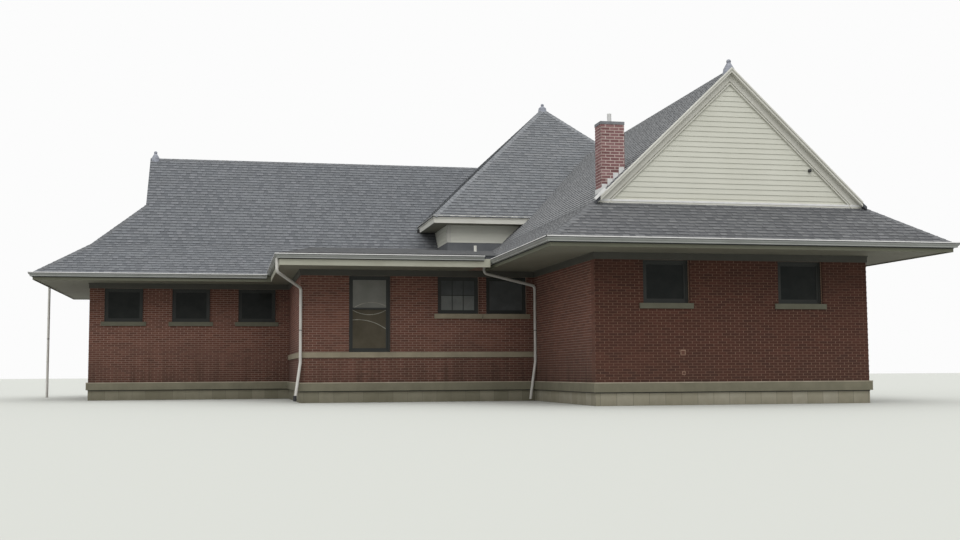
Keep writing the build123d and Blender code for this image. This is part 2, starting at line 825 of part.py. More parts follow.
# The attic walls stand on the lower roofs, so what lies under those roofs is cut from them
with BuildPart() as attic_walls:
    add(square_ring(tower_half, tower_half - attic_wall_thickness, eave_top, tower_soffit_level).part)
    with BuildSketch(Plane.YZ):
        with BuildLine():
            Polyline((infill_eave_y, 0), (infill_eave_y, infill_eave_top), (main_front_face, break_height),
                     (back_face, break_height), (back_face + rafter_reach, eave_top),
                     (back_face + rafter_reach, 0), close=True)
        make_face()
    extrude(amount=beyond, both=True, mode=Mode.SUBTRACT)
    with BuildSketch(Plane.XZ):
        with BuildLine():
            Polyline((wing_left_face - rafter_reach, 0), (wing_left_face - rafter_reach, eave_top),
                     (wing_left_face, break_height), (right_face, break_height),
                     (right_face + rafter_reach, eave_top), (right_face + rafter_reach, 0), close=True)
        make_face()
    extrude(amount=beyond, both=True, mode=Mode.SUBTRACT)
save(attic_walls, "attic_walls")

tower_rafter_half = tower_eave_half - fascia_thickness
save(square_ring(tower_rafter_half, tower_half - attic_wall_thickness, tower_soffit_level,
                 tower_soffit_level + soffit_thickness), "tower_soffit")
with BuildPart() as tower_fascia:
    add(square_ring(tower_eave_half, tower_rafter_half, tower_soffit_level, tower_eave_top).part)
    add(square_ring(tower_crown_half, tower_rafter_half, tower_eave_top - tower_crown_height,
                    tower_eave_top).part)
save(tower_fascia, "tower_fascia")

half = tower_rafter_half
tower_edge_top = tower_apex - half * upper_rise
corners = [(tower_x - half, tower_y - half), (tower_x + half, tower_y - half),
           (tower_x + half, tower_y + half), (tower_x - half, tower_y + half)]
tower_faces = [
    ("tower_roof_front", Plane.YZ, (tower_y - half, tower_edge_top), (tower_y, tower_apex)),
    ("tower_roof_right", Plane.XZ, (tower_x + half, tower_edge_top), (tower_x, tower_apex)),
    ("tower_roof_back", Plane.YZ, (tower_y + half, tower_edge_top), (tower_y, tower_apex)),
    ("tower_roof_left", Plane.XZ, (tower_x - half, tower_edge_top), (tower_x, tower_apex)),
]
for index, (name, plane, low, high) in enumerate(tower_faces):
    plan = [corners[index], corners[(index + 1) % 4], (tower_x, tower_y)]
    with BuildPart() as tower_roof:
        add(slope(plane, band(low, high), plan))
    save(tower_roof, name)

# Chimney with its cap and flue pipe
with BuildPart() as chimney:
    add(slab(chimney_x, chimney_x + chimney_width, chimney_y, chimney_y + chimney_depth,
             plinth_top, chimney_top))
save(chimney, "chimney")

with BuildPart() as chimney_cap:
    add(slab(chimney_x - cap_overhang, chimney_x + chimney_width + cap_overhang,
             chimney_y - cap_overhang, chimney_y + chimney_depth + cap_overhang,
             chimney_top, chimney_top + cap_height))
    with Locations((chimney_x + flue_from_left, chimney_y + chimney_depth / 2,
                    chimney_top + cap_height)):
        Cylinder(flue_radius, flue_height, align=(Align.CENTER, Align.CENTER, Align.MIN))
save(chimney_cap, "chimney_cap")


# Sheet-metal finials: a spreading foot that sits astride the roof, a neck and a ball
def astride(plane, middle):
    """Everything below two slopes that meet in a ridge."""
    with BuildPart() as piece:
        with BuildSketch(plane):
            with BuildLine():
                Polyline((middle, ridge_top), (middle - span / 2, break_height),
                         (middle + span / 2, break_height), close=True)
            make_face()
        extrude(amount=beyond, both=True)
    return piece.part


def finial(x, y, top, rise, roof):
    """Turned finial, its neck a rise above the roof's top and its foot cut to the roof."""
    foot = top - finial_foot_radius * upper_rise - finial_foot_sunk
    neck = top + rise
    with BuildPart() as piece:
        with BuildSketch(Plane.XZ.offset(-y)):
            with BuildLine():
                Polyline((x, foot), (x + finial_foot_radius, foot),
                         (x + finial_waist_radius, top + finial_waist_rise),
                         (x + finial_neck_radius, neck), (x, neck), close=True)
            make_face()
        revolve(axis=Axis((x, y, 0), (0, 0, 1)))
        with Locations((x, y, neck + finial_ball_radius - finial_neck_radius / 2)):
            Sphere(finial_ball_radius)
        add(roof, mode=Mode.SUBTRACT)
    return piece.part


with BuildPart() as finials:
    add(finial(wing_ridge_x, front_face + finial_foot_radius - rake_overhang, ridge_top,
               ridge_finial_rise, astride(Plane.XZ, wing_ridge_x)))
    add(finial(gablet_x + finial_foot_radius - rake_overhang, main_ridge_y, ridge_top,
               ridge_finial_rise, astride(Plane.YZ, main_ridge_y)))
    add(finial(tower_x, tower_y, tower_apex, tower_finial_rise, tower_space.part))
save(finials, "finials")


# Rainwater pipes
def pipe(points, bends):
    """Round pipe along a run with rounded bends."""
    with BuildPart() as piece:
        with BuildLine() as run:
            FilletPolyline(*points, radius=bends)
        with BuildSketch(Plane(origin=run.line @ 0, z_dir=run.line % 0)):
            Circle(pipe_radius)
        sweep()
    return piece


gutter_middle = gutter_width / 2
beside_belt = belt_projection + pipe_radius + pipe_clearance
beside_wall = pipe_radius + pipe_clearance
infill_outlet_x = infill_eave_x - fascia_thickness - gutter_middle
infill_outlet_y = infill_eave_y - fascia_thickness + gutter_middle
infill_outlet_z = infill_gutter_top - gutter_height
save(pipe([
    (infill_outlet_x, infill_outlet_y, infill_outlet_z),
    (infill_outlet_x, infill_outlet_y, infill_outlet_z - 2 * elbow_drop),
    (infill_left_face, infill_front_face - beside_belt, infill_outlet_z - 2 * elbow_drop - elbow_fall),
    (infill_left_face, infill_front_face - beside_belt, kick_height),
    (infill_left_face - kick_run, infill_front_face - beside_belt - kick_run, pipe_shoe_height),
], pipe_bend), "infill_downspout")

wing_outlet_x = wing_left_face - gutter_reach - gutter_middle
wing_outlet_y = infill_front_face - wing_gutter_run_back - gutter_middle
wing_outlet_z = gutter_top - gutter_height
corner_y = infill_front_face - beside_belt - elbow_drop
save(pipe([
    (wing_outlet_x, wing_outlet_y, wing_outlet_z),
    (wing_outlet_x, wing_outlet_y, wing_outlet_z - elbow_drop),
    (wing_left_face - beside_wall, corner_y, wing_outlet_z - elbow_drop - elbow_fall),
    (wing_left_face - beside_wall, corner_y, kick_height),
    (wing_left_face - beside_wall - kick_run, corner_y, pipe_shoe_height),
], pipe_bend), "corner_downspout")

with BuildPart() as left_downspout:
    with Locations((left_face - gutter_reach - gutter_middle, main_ridge_y - left_pipe_offset,
                    pipe_shoe_height)):
        Cylinder(pipe_radius, gutter_top - gutter_height - pipe_shoe_height,
                 align=(Align.CENTER, Align.CENTER, Align.MIN))
save(left_downspout, "left_downspout")
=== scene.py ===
"""Brick railway station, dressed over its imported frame. Metres, +Z up, the wing's gable faces -Y."""

from collections import namedtuple
from math import ceil, pi, radians

import bpy
from mathutils import Euler, Matrix, Vector


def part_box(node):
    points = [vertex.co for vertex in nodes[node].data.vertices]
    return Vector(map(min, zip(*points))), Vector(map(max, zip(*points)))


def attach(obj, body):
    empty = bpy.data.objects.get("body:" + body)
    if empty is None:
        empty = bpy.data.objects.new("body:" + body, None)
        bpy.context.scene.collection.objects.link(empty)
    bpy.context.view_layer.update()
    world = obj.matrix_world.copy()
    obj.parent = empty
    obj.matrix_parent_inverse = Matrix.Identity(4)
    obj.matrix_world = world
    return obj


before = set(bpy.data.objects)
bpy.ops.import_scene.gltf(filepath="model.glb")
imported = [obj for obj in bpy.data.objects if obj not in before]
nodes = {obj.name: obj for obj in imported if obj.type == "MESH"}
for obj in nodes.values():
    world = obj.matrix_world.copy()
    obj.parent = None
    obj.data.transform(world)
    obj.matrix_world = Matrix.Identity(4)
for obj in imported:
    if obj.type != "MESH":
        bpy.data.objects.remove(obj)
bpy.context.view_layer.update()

UP = Vector((0, 0, 1))
LEFT, RIGHT = Vector((-1, 0, 0)), Vector((1, 0, 0))
FRONT, BACK = Vector((0, -1, 0)), Vector((0, 1, 0))


def low(node):
    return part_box(node)[0]


def high(node):
    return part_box(node)[1]


# Lines of the building, read from the frame
left_face, right_face = low("back_wall").x, high("back_wall").x
front_face, back_face = low("wing_front_wall").y, high("back_wall").y
wing_left_face = low("wing_front_wall").x
main_front_face = low("main_front_wall").y
infill_front_face = low("infill_front_wall").y
infill_left_face = low("infill_front_wall").x
foundation_top = high("foundation").z
plinth_top = high("water_table").z
brick_top = low("frieze").z
soffit_level = low("soffit").z

roof_thickness = high("wing_front_skirt").z - high("wing_front_wall").z
break_height = high("wing_front_skirt").z
eave_top = low("wing_front_skirt").z + roof_thickness
eave_x, eave_y = high("soffit").x, high("soffit").y
rafter_reach = eave_x - right_face
ridge_top = high("wing_roof_left").z
wing_ridge_x = (wing_left_face + right_face) / 2
main_ridge_y = (main_front_face + back_face) / 2
wing_eave_x = wing_left_face - rafter_reach
main_eave_y = main_front_face - rafter_reach
skirt_rise = (break_height - eave_top) / rafter_reach
upper_rise = (ridge_top - break_height) / (right_face - wing_ridge_x)
rake_overhang, verge_thickness = 0.160, 0.085
verge_y = front_face - rake_overhang

infill_eave_x, infill_eave_y = low("infill_roof").x, low("infill_roof").y
infill_eave_top = high("infill_gutter").z + (eave_top - high("main_gutter").z)
infill_rise = (break_height - infill_eave_top) / (main_front_face - infill_eave_y)
infill_hip_x = infill_eave_x + (break_height - infill_eave_top) / skirt_rise
infill_valley_x = wing_eave_x + (infill_eave_top - eave_top) / skirt_rise
infill_valley_y = main_eave_y + (infill_eave_top - eave_top) / skirt_rise

gablet_x = low("left_gablet").x
gablet_verge_x = gablet_x - rake_overhang
tower_x = (low("tower_fascia").x + high("tower_fascia").x) / 2
tower_y = (low("tower_fascia").y + high("tower_fascia").y) / 2
tower_crown_half = high("tower_fascia").x - tower_x
attic_half = high("attic_walls").x - tower_x
tower_eave_top = high("tower_fascia").z
tower_soffit_level = low("tower_fascia").z
tower_apex = high("tower_roof_front").z


# Working by hand: one piece at a time, everything else put aside
def put_aside():
    for piece in bpy.context.selected_objects:
        piece.select_set(False)


def take(piece):
    put_aside()
    piece.select_set(True)
    bpy.context.view_layer.objects.active = piece


def lay_down(piece):
    """Bakes the place and size of a piece into its mesh."""
    take(piece)
    bpy.ops.object.transform_apply(location=True, rotation=True, scale=True)
    return piece


def block(name, start, end):
    """Squared block between two corners."""
    put_aside()
    bpy.ops.mesh.primitive_cube_add(size=1, location=(Vector(start) + Vector(end)) / 2)
    piece = bpy.context.object
    piece.name = piece.data.name = name
    piece.scale = [abs(b - a) for a, b in zip(start, end)]
    return lay_down(piece)


def pick(piece, wanted, part="faces"):
    """Opens a piece for editing with only the faces or corners picked that pass a test."""
    take(piece)
    mesh = piece.data
    for group in (mesh.vertices, mesh.edges, mesh.polygons):
        group.foreach_set("select", [False] * len(group))
    if part == "faces":
        bpy.context.tool_settings.mesh_select_mode = (False, False, True)
        mesh.polygons.foreach_set("select", [bool(wanted(face)) for face in mesh.polygons])
    else:
        bpy.context.tool_settings.mesh_select_mode = (True, False, False)
        mesh.vertices.foreach_set("select", [bool(wanted(corner)) for corner in mesh.vertices])
    bpy.ops.object.mode_set(mode="EDIT")


def done():
    bpy.ops.object.mode_set(mode="OBJECT")


def everything(part):
    return True


def drop_faces(piece, wanted):
    pick(piece, wanted)
    bpy.ops.mesh.delete(type="FACE")
    done()
    return piece


def shift_corners(piece, wanted, move):
    pick(piece, wanted, "corners")
    bpy.ops.transform.translate(value=move)
    done()
    return piece


def saw(piece, point, towards, wanted=everything, close=False):
    """Cuts a piece through a point and clears what lies on the side that the vector points to."""
    pick(piece, wanted)
    bpy.ops.mesh.bisect(plane_co=point, plane_no=Vector(towards).normalized(), clear_outer=True,
                        use_fill=close)
    done()
    return piece


def repeat(piece, count, step):
    """Row of copies at an even step."""
    if count < 2:
        return piece
    take(piece)
    row = piece.modifiers.new("row", "ARRAY")
    row.use_relative_offset = False
    row.use_constant_offset = True
    row.constant_offset_displace = step
    row.count = count
    bpy.ops.object.modifier_apply(modifier=row.name)
    return piece


def rounded(piece, width, segments=2):
    """Softens the arrises."""
    take(piece)
    edge = piece.modifiers.new("edge", "BEVEL")
    edge.width, edge.segments, edge.limit_method = width, segments, "ANGLE"
    bpy.ops.object.modifier_apply(modifier=edge.name)
    return piece


def joined(name, pieces):
    """One mesh of several pieces."""
    put_aside()
    for piece in pieces:
        piece.select_set(True)
    bpy.context.view_layer.objects.active = pieces[0]
    if len(pieces) > 1:
        bpy.ops.object.join()
    whole = bpy.context.view_layer.objects.active
    whole.name = whole.data.name = name
    return whole


def copied(piece, name):
    twin = piece.copy()
    twin.data = piece.data.copy()
    twin.name = twin.data.name = name
    bpy.context.scene.collection.objects.link(twin)
    return twin


def facing(origin, outward, along_up=UP):
    """Place of a flat face: x to the right as seen from outside, y up the face, z out of it."""
    right = along_up.cross(outward)
    place = Matrix((right, along_up, outward)).transposed().to_4x4()
    place.translation = origin
    return place


def set_in_place(piece, place):
    piece.matrix_world = place
    return lay_down(piece)


def finished(piece, material):
    """Gives a piece its finish and lets it ride with the building."""
    piece.data.materials.clear()
    piece.data.materials.append(material)
    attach(piece, "root")
    return piece


def solids_of(node):
    """Lowest and highest corner of each separate solid of a node."""
    mesh = nodes[node].data
    parent = {}

    def head(key):
        while parent[key] != key:
            parent[key] = parent[parent[key]]
            key = parent[key]
        return key

    for face in mesh.polygons:
        keys = [tuple(round(c, 4) for c in mesh.vertices[corner].co) for corner in face.vertices]
        for key in keys:
            parent.setdefault(key, key)
            parent[head(key)] = head(keys[0])
    boxes = {}
    for key in parent:
        boxes.setdefault(head(key), []).append(key)
    return sorted((Vector(map(min, zip(*points))), Vector(map(max, zip(*points))))
                  for points in boxes.values())


# Finishes
def shade(red, green, blue):
    """Colour written as 0 to 255 on screen, as the shader wants it."""
    return tuple(((c / 255 + 0.055) / 1.055) ** 2.4 if c > 10 else c / 255 / 12.92
                 for c in (red, green, blue)) + (1.0,)


def plug(tree, socket, value):
    """Links a socket to another one, or sets it to a value."""
    if isinstance(value, bpy.types.NodeSocket):
        tree.links.new(value, socket)
    else:
        socket.default_value = value


def calculated(tree, operation, first, second=0.5):
    step = tree.nodes.new("ShaderNodeMath")
    step.operation = operation
    plug(tree, step.inputs[0], first)
    plug(tree, step.inputs[1], second)
    return step.outputs[0]


def ranged(tree, value, start, end, first=0.0, last=1.0):
    """A value between start and end, stretched to run from first to last."""
    stretch = tree.nodes.new("ShaderNodeMapRange")
    for socket, number in (("From Min", start), ("From Max", end), ("To Min", first), ("To Max", last)):
        stretch.inputs[socket].default_value = number
    tree.links.new(value, stretch.inputs["Value"])
    return stretch.outputs["Result"]


def mixed(tree, share, first, second):
    """Second colour laid over the first by a share."""
    mix = tree.nodes.new("ShaderNodeMix")
    mix.data_type = "RGBA"
    for socket, value in (("Factor", share), (6, first), (7, second)):
        plug(tree, mix.inputs[socket], value)
    return mix.outputs[2]


def noise(tree, where, scale, detail, roughness=0.5):
    cloud = tree.nodes.new("ShaderNodeTexNoise")
    cloud.inputs["Detail"].default_value = detail
    cloud.inputs["Roughness"].default_value = roughness
    tree.links.new(where, cloud.inputs["Vector"])
    plug(tree, cloud.inputs["Scale"], scale)
    return cloud.outputs["Fac"]


def coordinates(tree, kind):
    return tree.nodes.new("ShaderNodeTexCoord").outputs[kind]


def upward_part(tree, kind):
    """The Z of a set of coordinates."""
    apart = tree.nodes.new("ShaderNodeSeparateXYZ")
    tree.links.new(coordinates(tree, kind), apart.inputs["Vector"])
    return apart.outputs["Z"]


def new_group(name, inputs, outputs=("Colour",)):
    """Empty node group: inputs with their values, and outputs, of which only Grain is a number."""
    group = bpy.data.node_groups.new(name, "ShaderNodeTree")
    for label, value in inputs.items():
        kind = "NodeSocketColor" if isinstance(value, tuple) else "NodeSocketFloat"
        socket = group.interface.new_socket(label, in_out="INPUT", socket_type=kind)
        socket.default_value = value
    for label in outputs:
        kind = "NodeSocketFloat" if label == "Grain" else "NodeSocketColor"
        group.interface.new_socket(label, in_out="OUTPUT", socket_type=kind)
    return group, group.nodes.new("NodeGroupInput").outputs, group.nodes.new("NodeGroupOutput").inputs


middle_grey, lower_grey, dark_grey = (0.5, 0.5, 0.5, 1), (0.4, 0.4, 0.4, 1), (0.1, 0.1, 0.1, 1)


def mottling_group():
    """Soft patches of a second colour, and a fine grain for the surface."""
    group, given, result = new_group(
        "mottling",
        {"Colour": middle_grey, "Patches": lower_grey, "Size": 1.0, "Amount": 0.5, "Grain": 40.0},
        ("Colour", "Grain"))
    where = coordinates(group, "Object")
    patches = noise(group, where, calculated(group, "DIVIDE", 1.0, given["Size"]), 5, 0.62)
    share = calculated(group, "MULTIPLY", ranged(group, patches, 0.38, 0.66), given["Amount"])
    plug(group, result["Colour"], mixed(group, share, given["Colour"], given["Patches"]))
    plug(group, result["Grain"], noise(group, where, given["Grain"], 3))
    return group


def stain_group():
    """Darkens a colour towards the ground and in streaks that run down."""
    group, given, result = new_group(
        "weather stains",
        {"Colour": middle_grey, "Stain": dark_grey, "Foot": 0.0, "Height": 0.5, "Amount": 0.5})
    stretch = group.nodes.new("ShaderNodeMapping")
    stretch.inputs["Scale"].default_value = (7.0, 7.0, 0.7)
    plug(group, stretch.inputs["Vector"], coordinates(group, "Object"))
    streaks = ranged(group, noise(group, stretch.outputs["Vector"], 1.0, 6), 0.0, 1.0)
    above = calculated(group, "SUBTRACT", upward_part(group, "Object"), given["Foot"])
    near = ranged(group, calculated(group, "DIVIDE", above, given["Height"]), 0.0, 1.0, 1.0, 0.0)
    share = calculated(group, "MULTIPLY", near, streaks)
    strength = calculated(group, "MULTIPLY", share, given["Amount"])
    plug(group, result["Colour"], mixed(group, strength, given["Colour"], given["Stain"]))
    return group


def course_shadow_group():
    """Darkens each shingle's head, just under the next course's butt, and the butts themselves."""
    group, given, result = new_group(
        "course shadow", {"Colour": middle_grey, "Shadow": dark_grey, "Amount": 0.5, "Butts": 0.0})
    up_the_course = group.nodes.new("ShaderNodeAttribute")
    up_the_course.attribute_name = "up_the_course"
    height = up_the_course.outputs["Fac"]
    heads = calculated(group, "MULTIPLY", ranged(group, height, 0.60, 0.85), given["Amount"])
    butts = calculated(group, "MULTIPLY", calculated(group, "LESS_THAN", height, 0.02), given["Butts"])
    share = calculated(group, "MAXIMUM", heads, butts)
    plug(group, result["Colour"], mixed(group, share, given["Colour"], given["Shadow"]))
    return group


def bed_joint_group():
    """Puts a second colour where level joints run, one to each course above a foot."""
    group, given, result = new_group(
        "bed joints",
        {"Colour": middle_grey, "Joint": dark_grey, "Foot": 0.0, "Course": 0.065, "Share": 0.1})
    value = upward_part(group, "Object")
    for operation, other in (("SUBTRACT", given["Foot"]), ("DIVIDE", given["Course"]), ("FRACT", 0.5),
                             ("SUBTRACT", 0.5), ("ABSOLUTE", 0.5), ("ADD", given["Share"]),
                             ("GREATER_THAN", 0.5)):
        value = calculated(group, operation, value, other)
    plug(group, result["Colour"], mixed(group, value, given["Colour"], given["Joint"]))
    return group


mottling = mottling_group()
weather_stains = stain_group()
course_shadow = course_shadow_group()
bed_joints = bed_joint_group()


def group_node(tree, group, values):
    node = tree.nodes.new("ShaderNodeGroup")
    node.node_tree = group
    for label, value in values.items():
        plug(tree, node.inputs[label], value)
    return node


def coating(name, colour, patches, size, amount, grain, roughness, bump=0.0, bump_depth=0.002,
            stain=None, tones=None, shadow=None, bed=None):
    """Finish with patches, a grain and, where asked, a tone of its own for each small piece.

    Colours are written as 0 to 255 on screen. tones is a list of (place on the ramp, colour), bed is
    (colour, foot, course, half the joint's share of it) for level joints, stain is (colour, foot, height,
    amount), and shadow is (colour, amount at the heads, amount at the butts) for shingles.
    """
    material = bpy.data.materials.new(name)
    material.use_nodes = True
    tree = material.node_tree
    surface = tree.nodes["Principled BSDF"]
    surface.inputs["Roughness"].default_value = roughness
    base = shade(*colour)
    if tones:
        island = tree.nodes.new("ShaderNodeNewGeometry")
        ramp = tree.nodes.new("ShaderNodeValToRGB")
        ramp.color_ramp.interpolation = "LINEAR"
        while len(ramp.color_ramp.elements) < len(tones):
            ramp.color_ramp.elements.new(0.5)
        for stop, (place, tone) in zip(ramp.color_ramp.elements, tones):
            stop.position, stop.color = place, shade(*tone)
        tree.links.new(island.outputs["Random Per Island"], ramp.inputs["Fac"])
        base = ramp.outputs["Color"]
    spots = group_node(tree, mottling, {"Colour": base, "Patches": shade(*patches), "Size": size,
                                        "Amount": amount, "Grain": grain})
    last = spots.outputs["Colour"]
    for group, labels, asked in ((bed_joints, ("Joint", "Foot", "Course", "Share"), bed),
                                 (weather_stains, ("Stain", "Foot", "Height", "Amount"), stain),
                                 (course_shadow, ("Shadow", "Amount", "Butts"), shadow)):
        if asked:
            values = dict(zip(labels, (shade(*asked[0]), *asked[1:])))
            last = group_node(tree, group, {"Colour": last, **values}).outputs["Colour"]
    tree.links.new(last, surface.inputs["Base Color"])
    if bump:
        relief = tree.nodes.new("ShaderNodeBump")
        relief.inputs["Strength"].default_value = bump
        relief.inputs["Distance"].default_value = bump_depth
        tree.links.new(spots.outputs["Grain"], relief.inputs["Height"])
        tree.links.new(relief.outputs["Normal"], surface.inputs["Normal"])
    return material


course = 0.065
shingle_shadow = ((66, 68, 72), 0.75, 0.0)
side_shadow = ((64, 66, 70), 0.8, 0.55)


def face_brick(name, colour, patches, tones, stain):
    """Wall brick whose single bricks vary between four tones."""
    return coating(name, colour, patches, 1.4, 0.4, 60, 0.9, bump=0.35, stain=stain,
                   tones=list(zip((0.0, 0.3, 0.7, 1.0), tones)))


def roofing(name, colour, patches, tones, shadow=shingle_shadow, size=0.5):
    """Coarse granules of a roof shingle, with its tones spread evenly."""
    places = [index / (len(tones) - 1) for index in range(len(tones))]
    return coating(name, colour, patches, size, 0.5, 240, 0.95, bump=0.5, bump_depth=0.003,
                   tones=list(zip(places, tones)), shadow=shadow)


red_brick = face_brick("red face brick", (110, 70, 57), (90, 60, 51),
                       [(92, 58, 47), (106, 66, 54), (112, 71, 58), (122, 81, 67)],
                       ((62, 42, 32), plinth_top, 1.5, 1.3))
# Darker copies of the brick and mortar for the wing's front: painted shade under its eaves
shaded_wing_brick = face_brick("red face brick of the wing's front", (76, 42, 30), (62, 36, 28),
                        [(66, 36, 26), (74, 41, 29), (79, 44, 32), (86, 50, 38)],
                        ((58, 46, 38), plinth_top, 0.8, 0.5))
mortar = coating("wall mortar", (190, 164, 148), (132, 106, 92), 1.8, 0.8, 80, 0.95, bump=0.4,
                 bed=((166, 146, 132), plinth_top, course, 0.09),
                 stain=((94, 76, 62), plinth_top, 1.5, 1.3))
shaded_wing_mortar = coating("mortar of the wing's front", (174, 146, 126), (122, 94, 78), 1.8, 0.8, 80, 0.95,
                      bump=0.4, bed=((120, 92, 76), plinth_top, course, 0.09))
chimney_brick = coating("chimney brick", (136, 96, 96), (108, 78, 79), 0.35, 0.4, 60, 0.9, bump=0.35,
                        tones=[(0.0, (110, 75, 75)), (0.45, (133, 94, 94)), (1.0, (152, 118, 118))])
chimney_mortar = coating("chimney mortar", (214, 200, 192), (176, 158, 150), 0.3, 0.5, 60, 0.95, bump=0.4)
cut_stone = coating("cut stone", (152, 143, 122), (124, 116, 98), 0.5, 0.6, 50, 0.88, bump=0.3,
                    stain=((92, 84, 68), 0.0, 3.0, 0.3))
sill_stone = coating("sill stone", (106, 105, 90), (88, 87, 73), 0.5, 0.5, 50, 0.88, bump=0.3)
# Painted highlight for the top edge of the stone base
base_top_highlight = coating("pale stone edge, painted highlight", (172, 162, 144), (140, 132, 114), 0.4, 0.7, 50, 0.9, bump=0.3)
base_stone = coating("base stone", (128, 124, 105), (106, 103, 86), 0.6, 0.6, 40, 0.9, bump=0.3,
                     stain=((74, 72, 56), foundation_top, 0.3, 0.45))
block_stone = coating("foundation block", (156, 151, 132), (132, 127, 108), 0.5, 0.5, 50, 0.9, bump=0.3,
                      tones=[(0.0, (144, 139, 120)), (1.0, (164, 159, 142))],
                      stain=((96, 90, 72), 0.0, 0.2, 0.6))
damp_stone = coating("damp foundation block", (128, 124, 106), (106, 102, 84), 0.5, 0.5, 50, 0.9,
                     bump=0.3, tones=[(0.0, (118, 114, 96)), (1.0, (136, 132, 114))],
                     stain=((84, 80, 62), 0.0, 0.2, 0.6))
block_joint = coating("foundation joint", (106, 102, 88), (90, 86, 74), 0.3, 0.5, 60, 0.95, bump=0.2)
shingle = roofing("asphalt shingle", (114, 117, 120), (104, 106, 108),
                  [(107, 110, 114), (113, 116, 120), (119, 121, 125)])
thin_shingle = roofing("asphalt shingle between tabs", (104, 107, 111), (97, 99, 102),
                       [(93, 96, 100), (104, 107, 111), (116, 119, 122)])
# Paler copy for the tower's slopes: painted light, as those slopes look brighter
pale_shingle = roofing("paler asphalt shingle", (119, 122, 125), (110, 112, 114),
                       [(112, 115, 119), (119, 122, 125), (126, 128, 130)])
# Lighter copy for the wing's side slopes: painted light; side_shadow paints the shadow at their heads and
# butts
side_shingle = roofing("shingle of the wing's sides", (132, 134, 135), (124, 125, 126),
                       [(124, 126, 128), (132, 134, 135), (139, 140, 141)], shadow=side_shadow)
# Paler copy between the tabs of the tower's slopes: painted light
pale_between = roofing("paler shingle between tabs", (114, 117, 120), (104, 106, 108),
                       [(101, 104, 107), (113, 116, 119), (125, 127, 130)])
# Darker copies for the wing's skirt, on the tabs and between them: painted shade
lower_shingle = roofing("shingle of the wing's skirt", (104, 105, 107), (92, 93, 94),
                        [(98, 99, 101), (105, 106, 108), (115, 116, 117)])
lower_between = roofing("skirt shingle between tabs", (96, 97, 99), (86, 87, 88),
                        [(84, 85, 87), (95, 96, 98), (107, 108, 109)])
# Lighter copy for the infill's nearly flat roof: painted light that offsets the shade on its butts, seen
# almost edge on
low_roofing = roofing("shingle of the low roof", (126, 127, 128), (115, 116, 117),
                      [(117, 119, 120), (126, 127, 128), (134, 135, 136)],
                      shadow=((66, 68, 72), 0.9, 0.0), size=0.7)
roof_felt = coating("roof felt", (82, 84, 88), (70, 72, 76), 0.3, 0.5, 120, 0.95, bump=0.3)
cap_shingle = roofing("hip and ridge caps", (106, 108, 110), (94, 96, 98),
                      [(98, 100, 102), (113, 114, 116)], shadow=((72, 74, 77), 0.5, 0.0), size=0.2)
# Lighter caps for the tower's hips: painted light, as on the tower's slopes
tower_cap_shingle = roofing("hip caps of the tower", (130, 133, 136), (116, 119, 122),
                            [(124, 127, 130), (138, 140, 143)], shadow=((92, 94, 98), 0.4, 0.0), size=0.2)
# White of the flashing and trim, also used for painted highlights on the gutters' beads
white_flashing_and_highlight = coating("white flashing and painted highlights", (226, 226, 224), (190, 190, 188), 0.2, 0.4, 60, 0.4, bump=0.1)
# Dark of small trim, pipe joints and the insulator, also used for painted shadow and shade lines under
# edges
dark_trim_and_painted_shade = coating("dark trim and painted shade lines", (44, 44, 46), (34, 34, 36), 0.5, 0.4, 60, 0.7, bump=0.1)
siding_paint = coating("cream siding", (206, 206, 194), (190, 190, 176), 1.3, 0.35, 30, 0.6, bump=0.1,
                       stain=((170, 166, 148), break_height, 0.35, 0.35))
attic_paint = coating("attic siding", (222, 222, 210), (204, 203, 190), 0.9, 0.35, 30, 0.6, bump=0.1)
trim_paint = coating("white trim paint", (212, 211, 202), (190, 188, 176), 0.8, 0.4, 40, 0.5, bump=0.1)
eave_paint = coating("cream eave paint", (176, 176, 160), (150, 148, 130), 0.9, 0.5, 40, 0.6, bump=0.1)
# Darker copy of the eave paint for the main fascia: painted shade under its gutter
shaded_olive_paint = coating("olive eave paint, darkened as painted shade", (101, 102, 85), (86, 86, 71), 0.9, 0.5, 40, 0.65, bump=0.1)
soffit_paint = coating("soffit paint", (126, 124, 110), (110, 108, 95), 1.0, 0.5, 30, 0.75, bump=0.15)
frieze_paint = coating("frieze paint", (80, 79, 72), (66, 65, 59), 0.8, 0.5, 40, 0.7, bump=0.1)
gutter_metal = coating("painted gutter", (162, 165, 161), (134, 136, 131), 0.7, 0.45, 50, 0.4, bump=0.05)
pipe_metal = coating("painted pipe", (206, 204, 198), (176, 172, 164), 0.4, 0.4, 50, 0.45, bump=0.05,
                     stain=((112, 100, 84), 0.0, 0.5, 0.6))
green_paint = coating("dark green paint", (30, 33, 29), (22, 24, 21), 0.4, 0.5, 60, 0.6, bump=0.1)
door_finish = coating("door paint", (58, 64, 57), (44, 49, 44), 0.4, 0.5, 60, 0.55, bump=0.1)
sheet_metal = coating("grey sheet metal", (150, 154, 164), (96, 98, 106), 0.1, 0.6, 60, 0.5, bump=0.1)
flue_metal = coating("flue pipe", (206, 206, 204), (176, 176, 174), 0.1, 0.4, 60, 0.5)
cap_cement = coating("chimney cap cement", (128, 130, 134), (92, 92, 96), 0.2, 0.6, 60, 0.9, bump=0.4)
plaster = coating("inside floor", (130, 122, 110), (108, 100, 90), 0.7, 0.5, 30, 0.8)
pane_glass = coating("window glass", (40, 43, 42), (54, 56, 54), 0.5, 0.6, 20, 0.06)
upper_pane = coating("upper pane", (134, 134, 128), (112, 112, 105), 0.6, 0.6, 20, 0.1)
lower_pane = coating("lower pane", (90, 84, 71), (72, 67, 55), 0.5, 0.6, 20, 0.1)
sheltered_pane = coating("sheltered pane", (88, 91, 91), (70, 72, 72), 0.4, 0.6, 20, 0.08)
lit_pane = coating("lit lower panes", (122, 125, 122), (100, 102, 100), 0.3, 0.6, 20, 0.08)
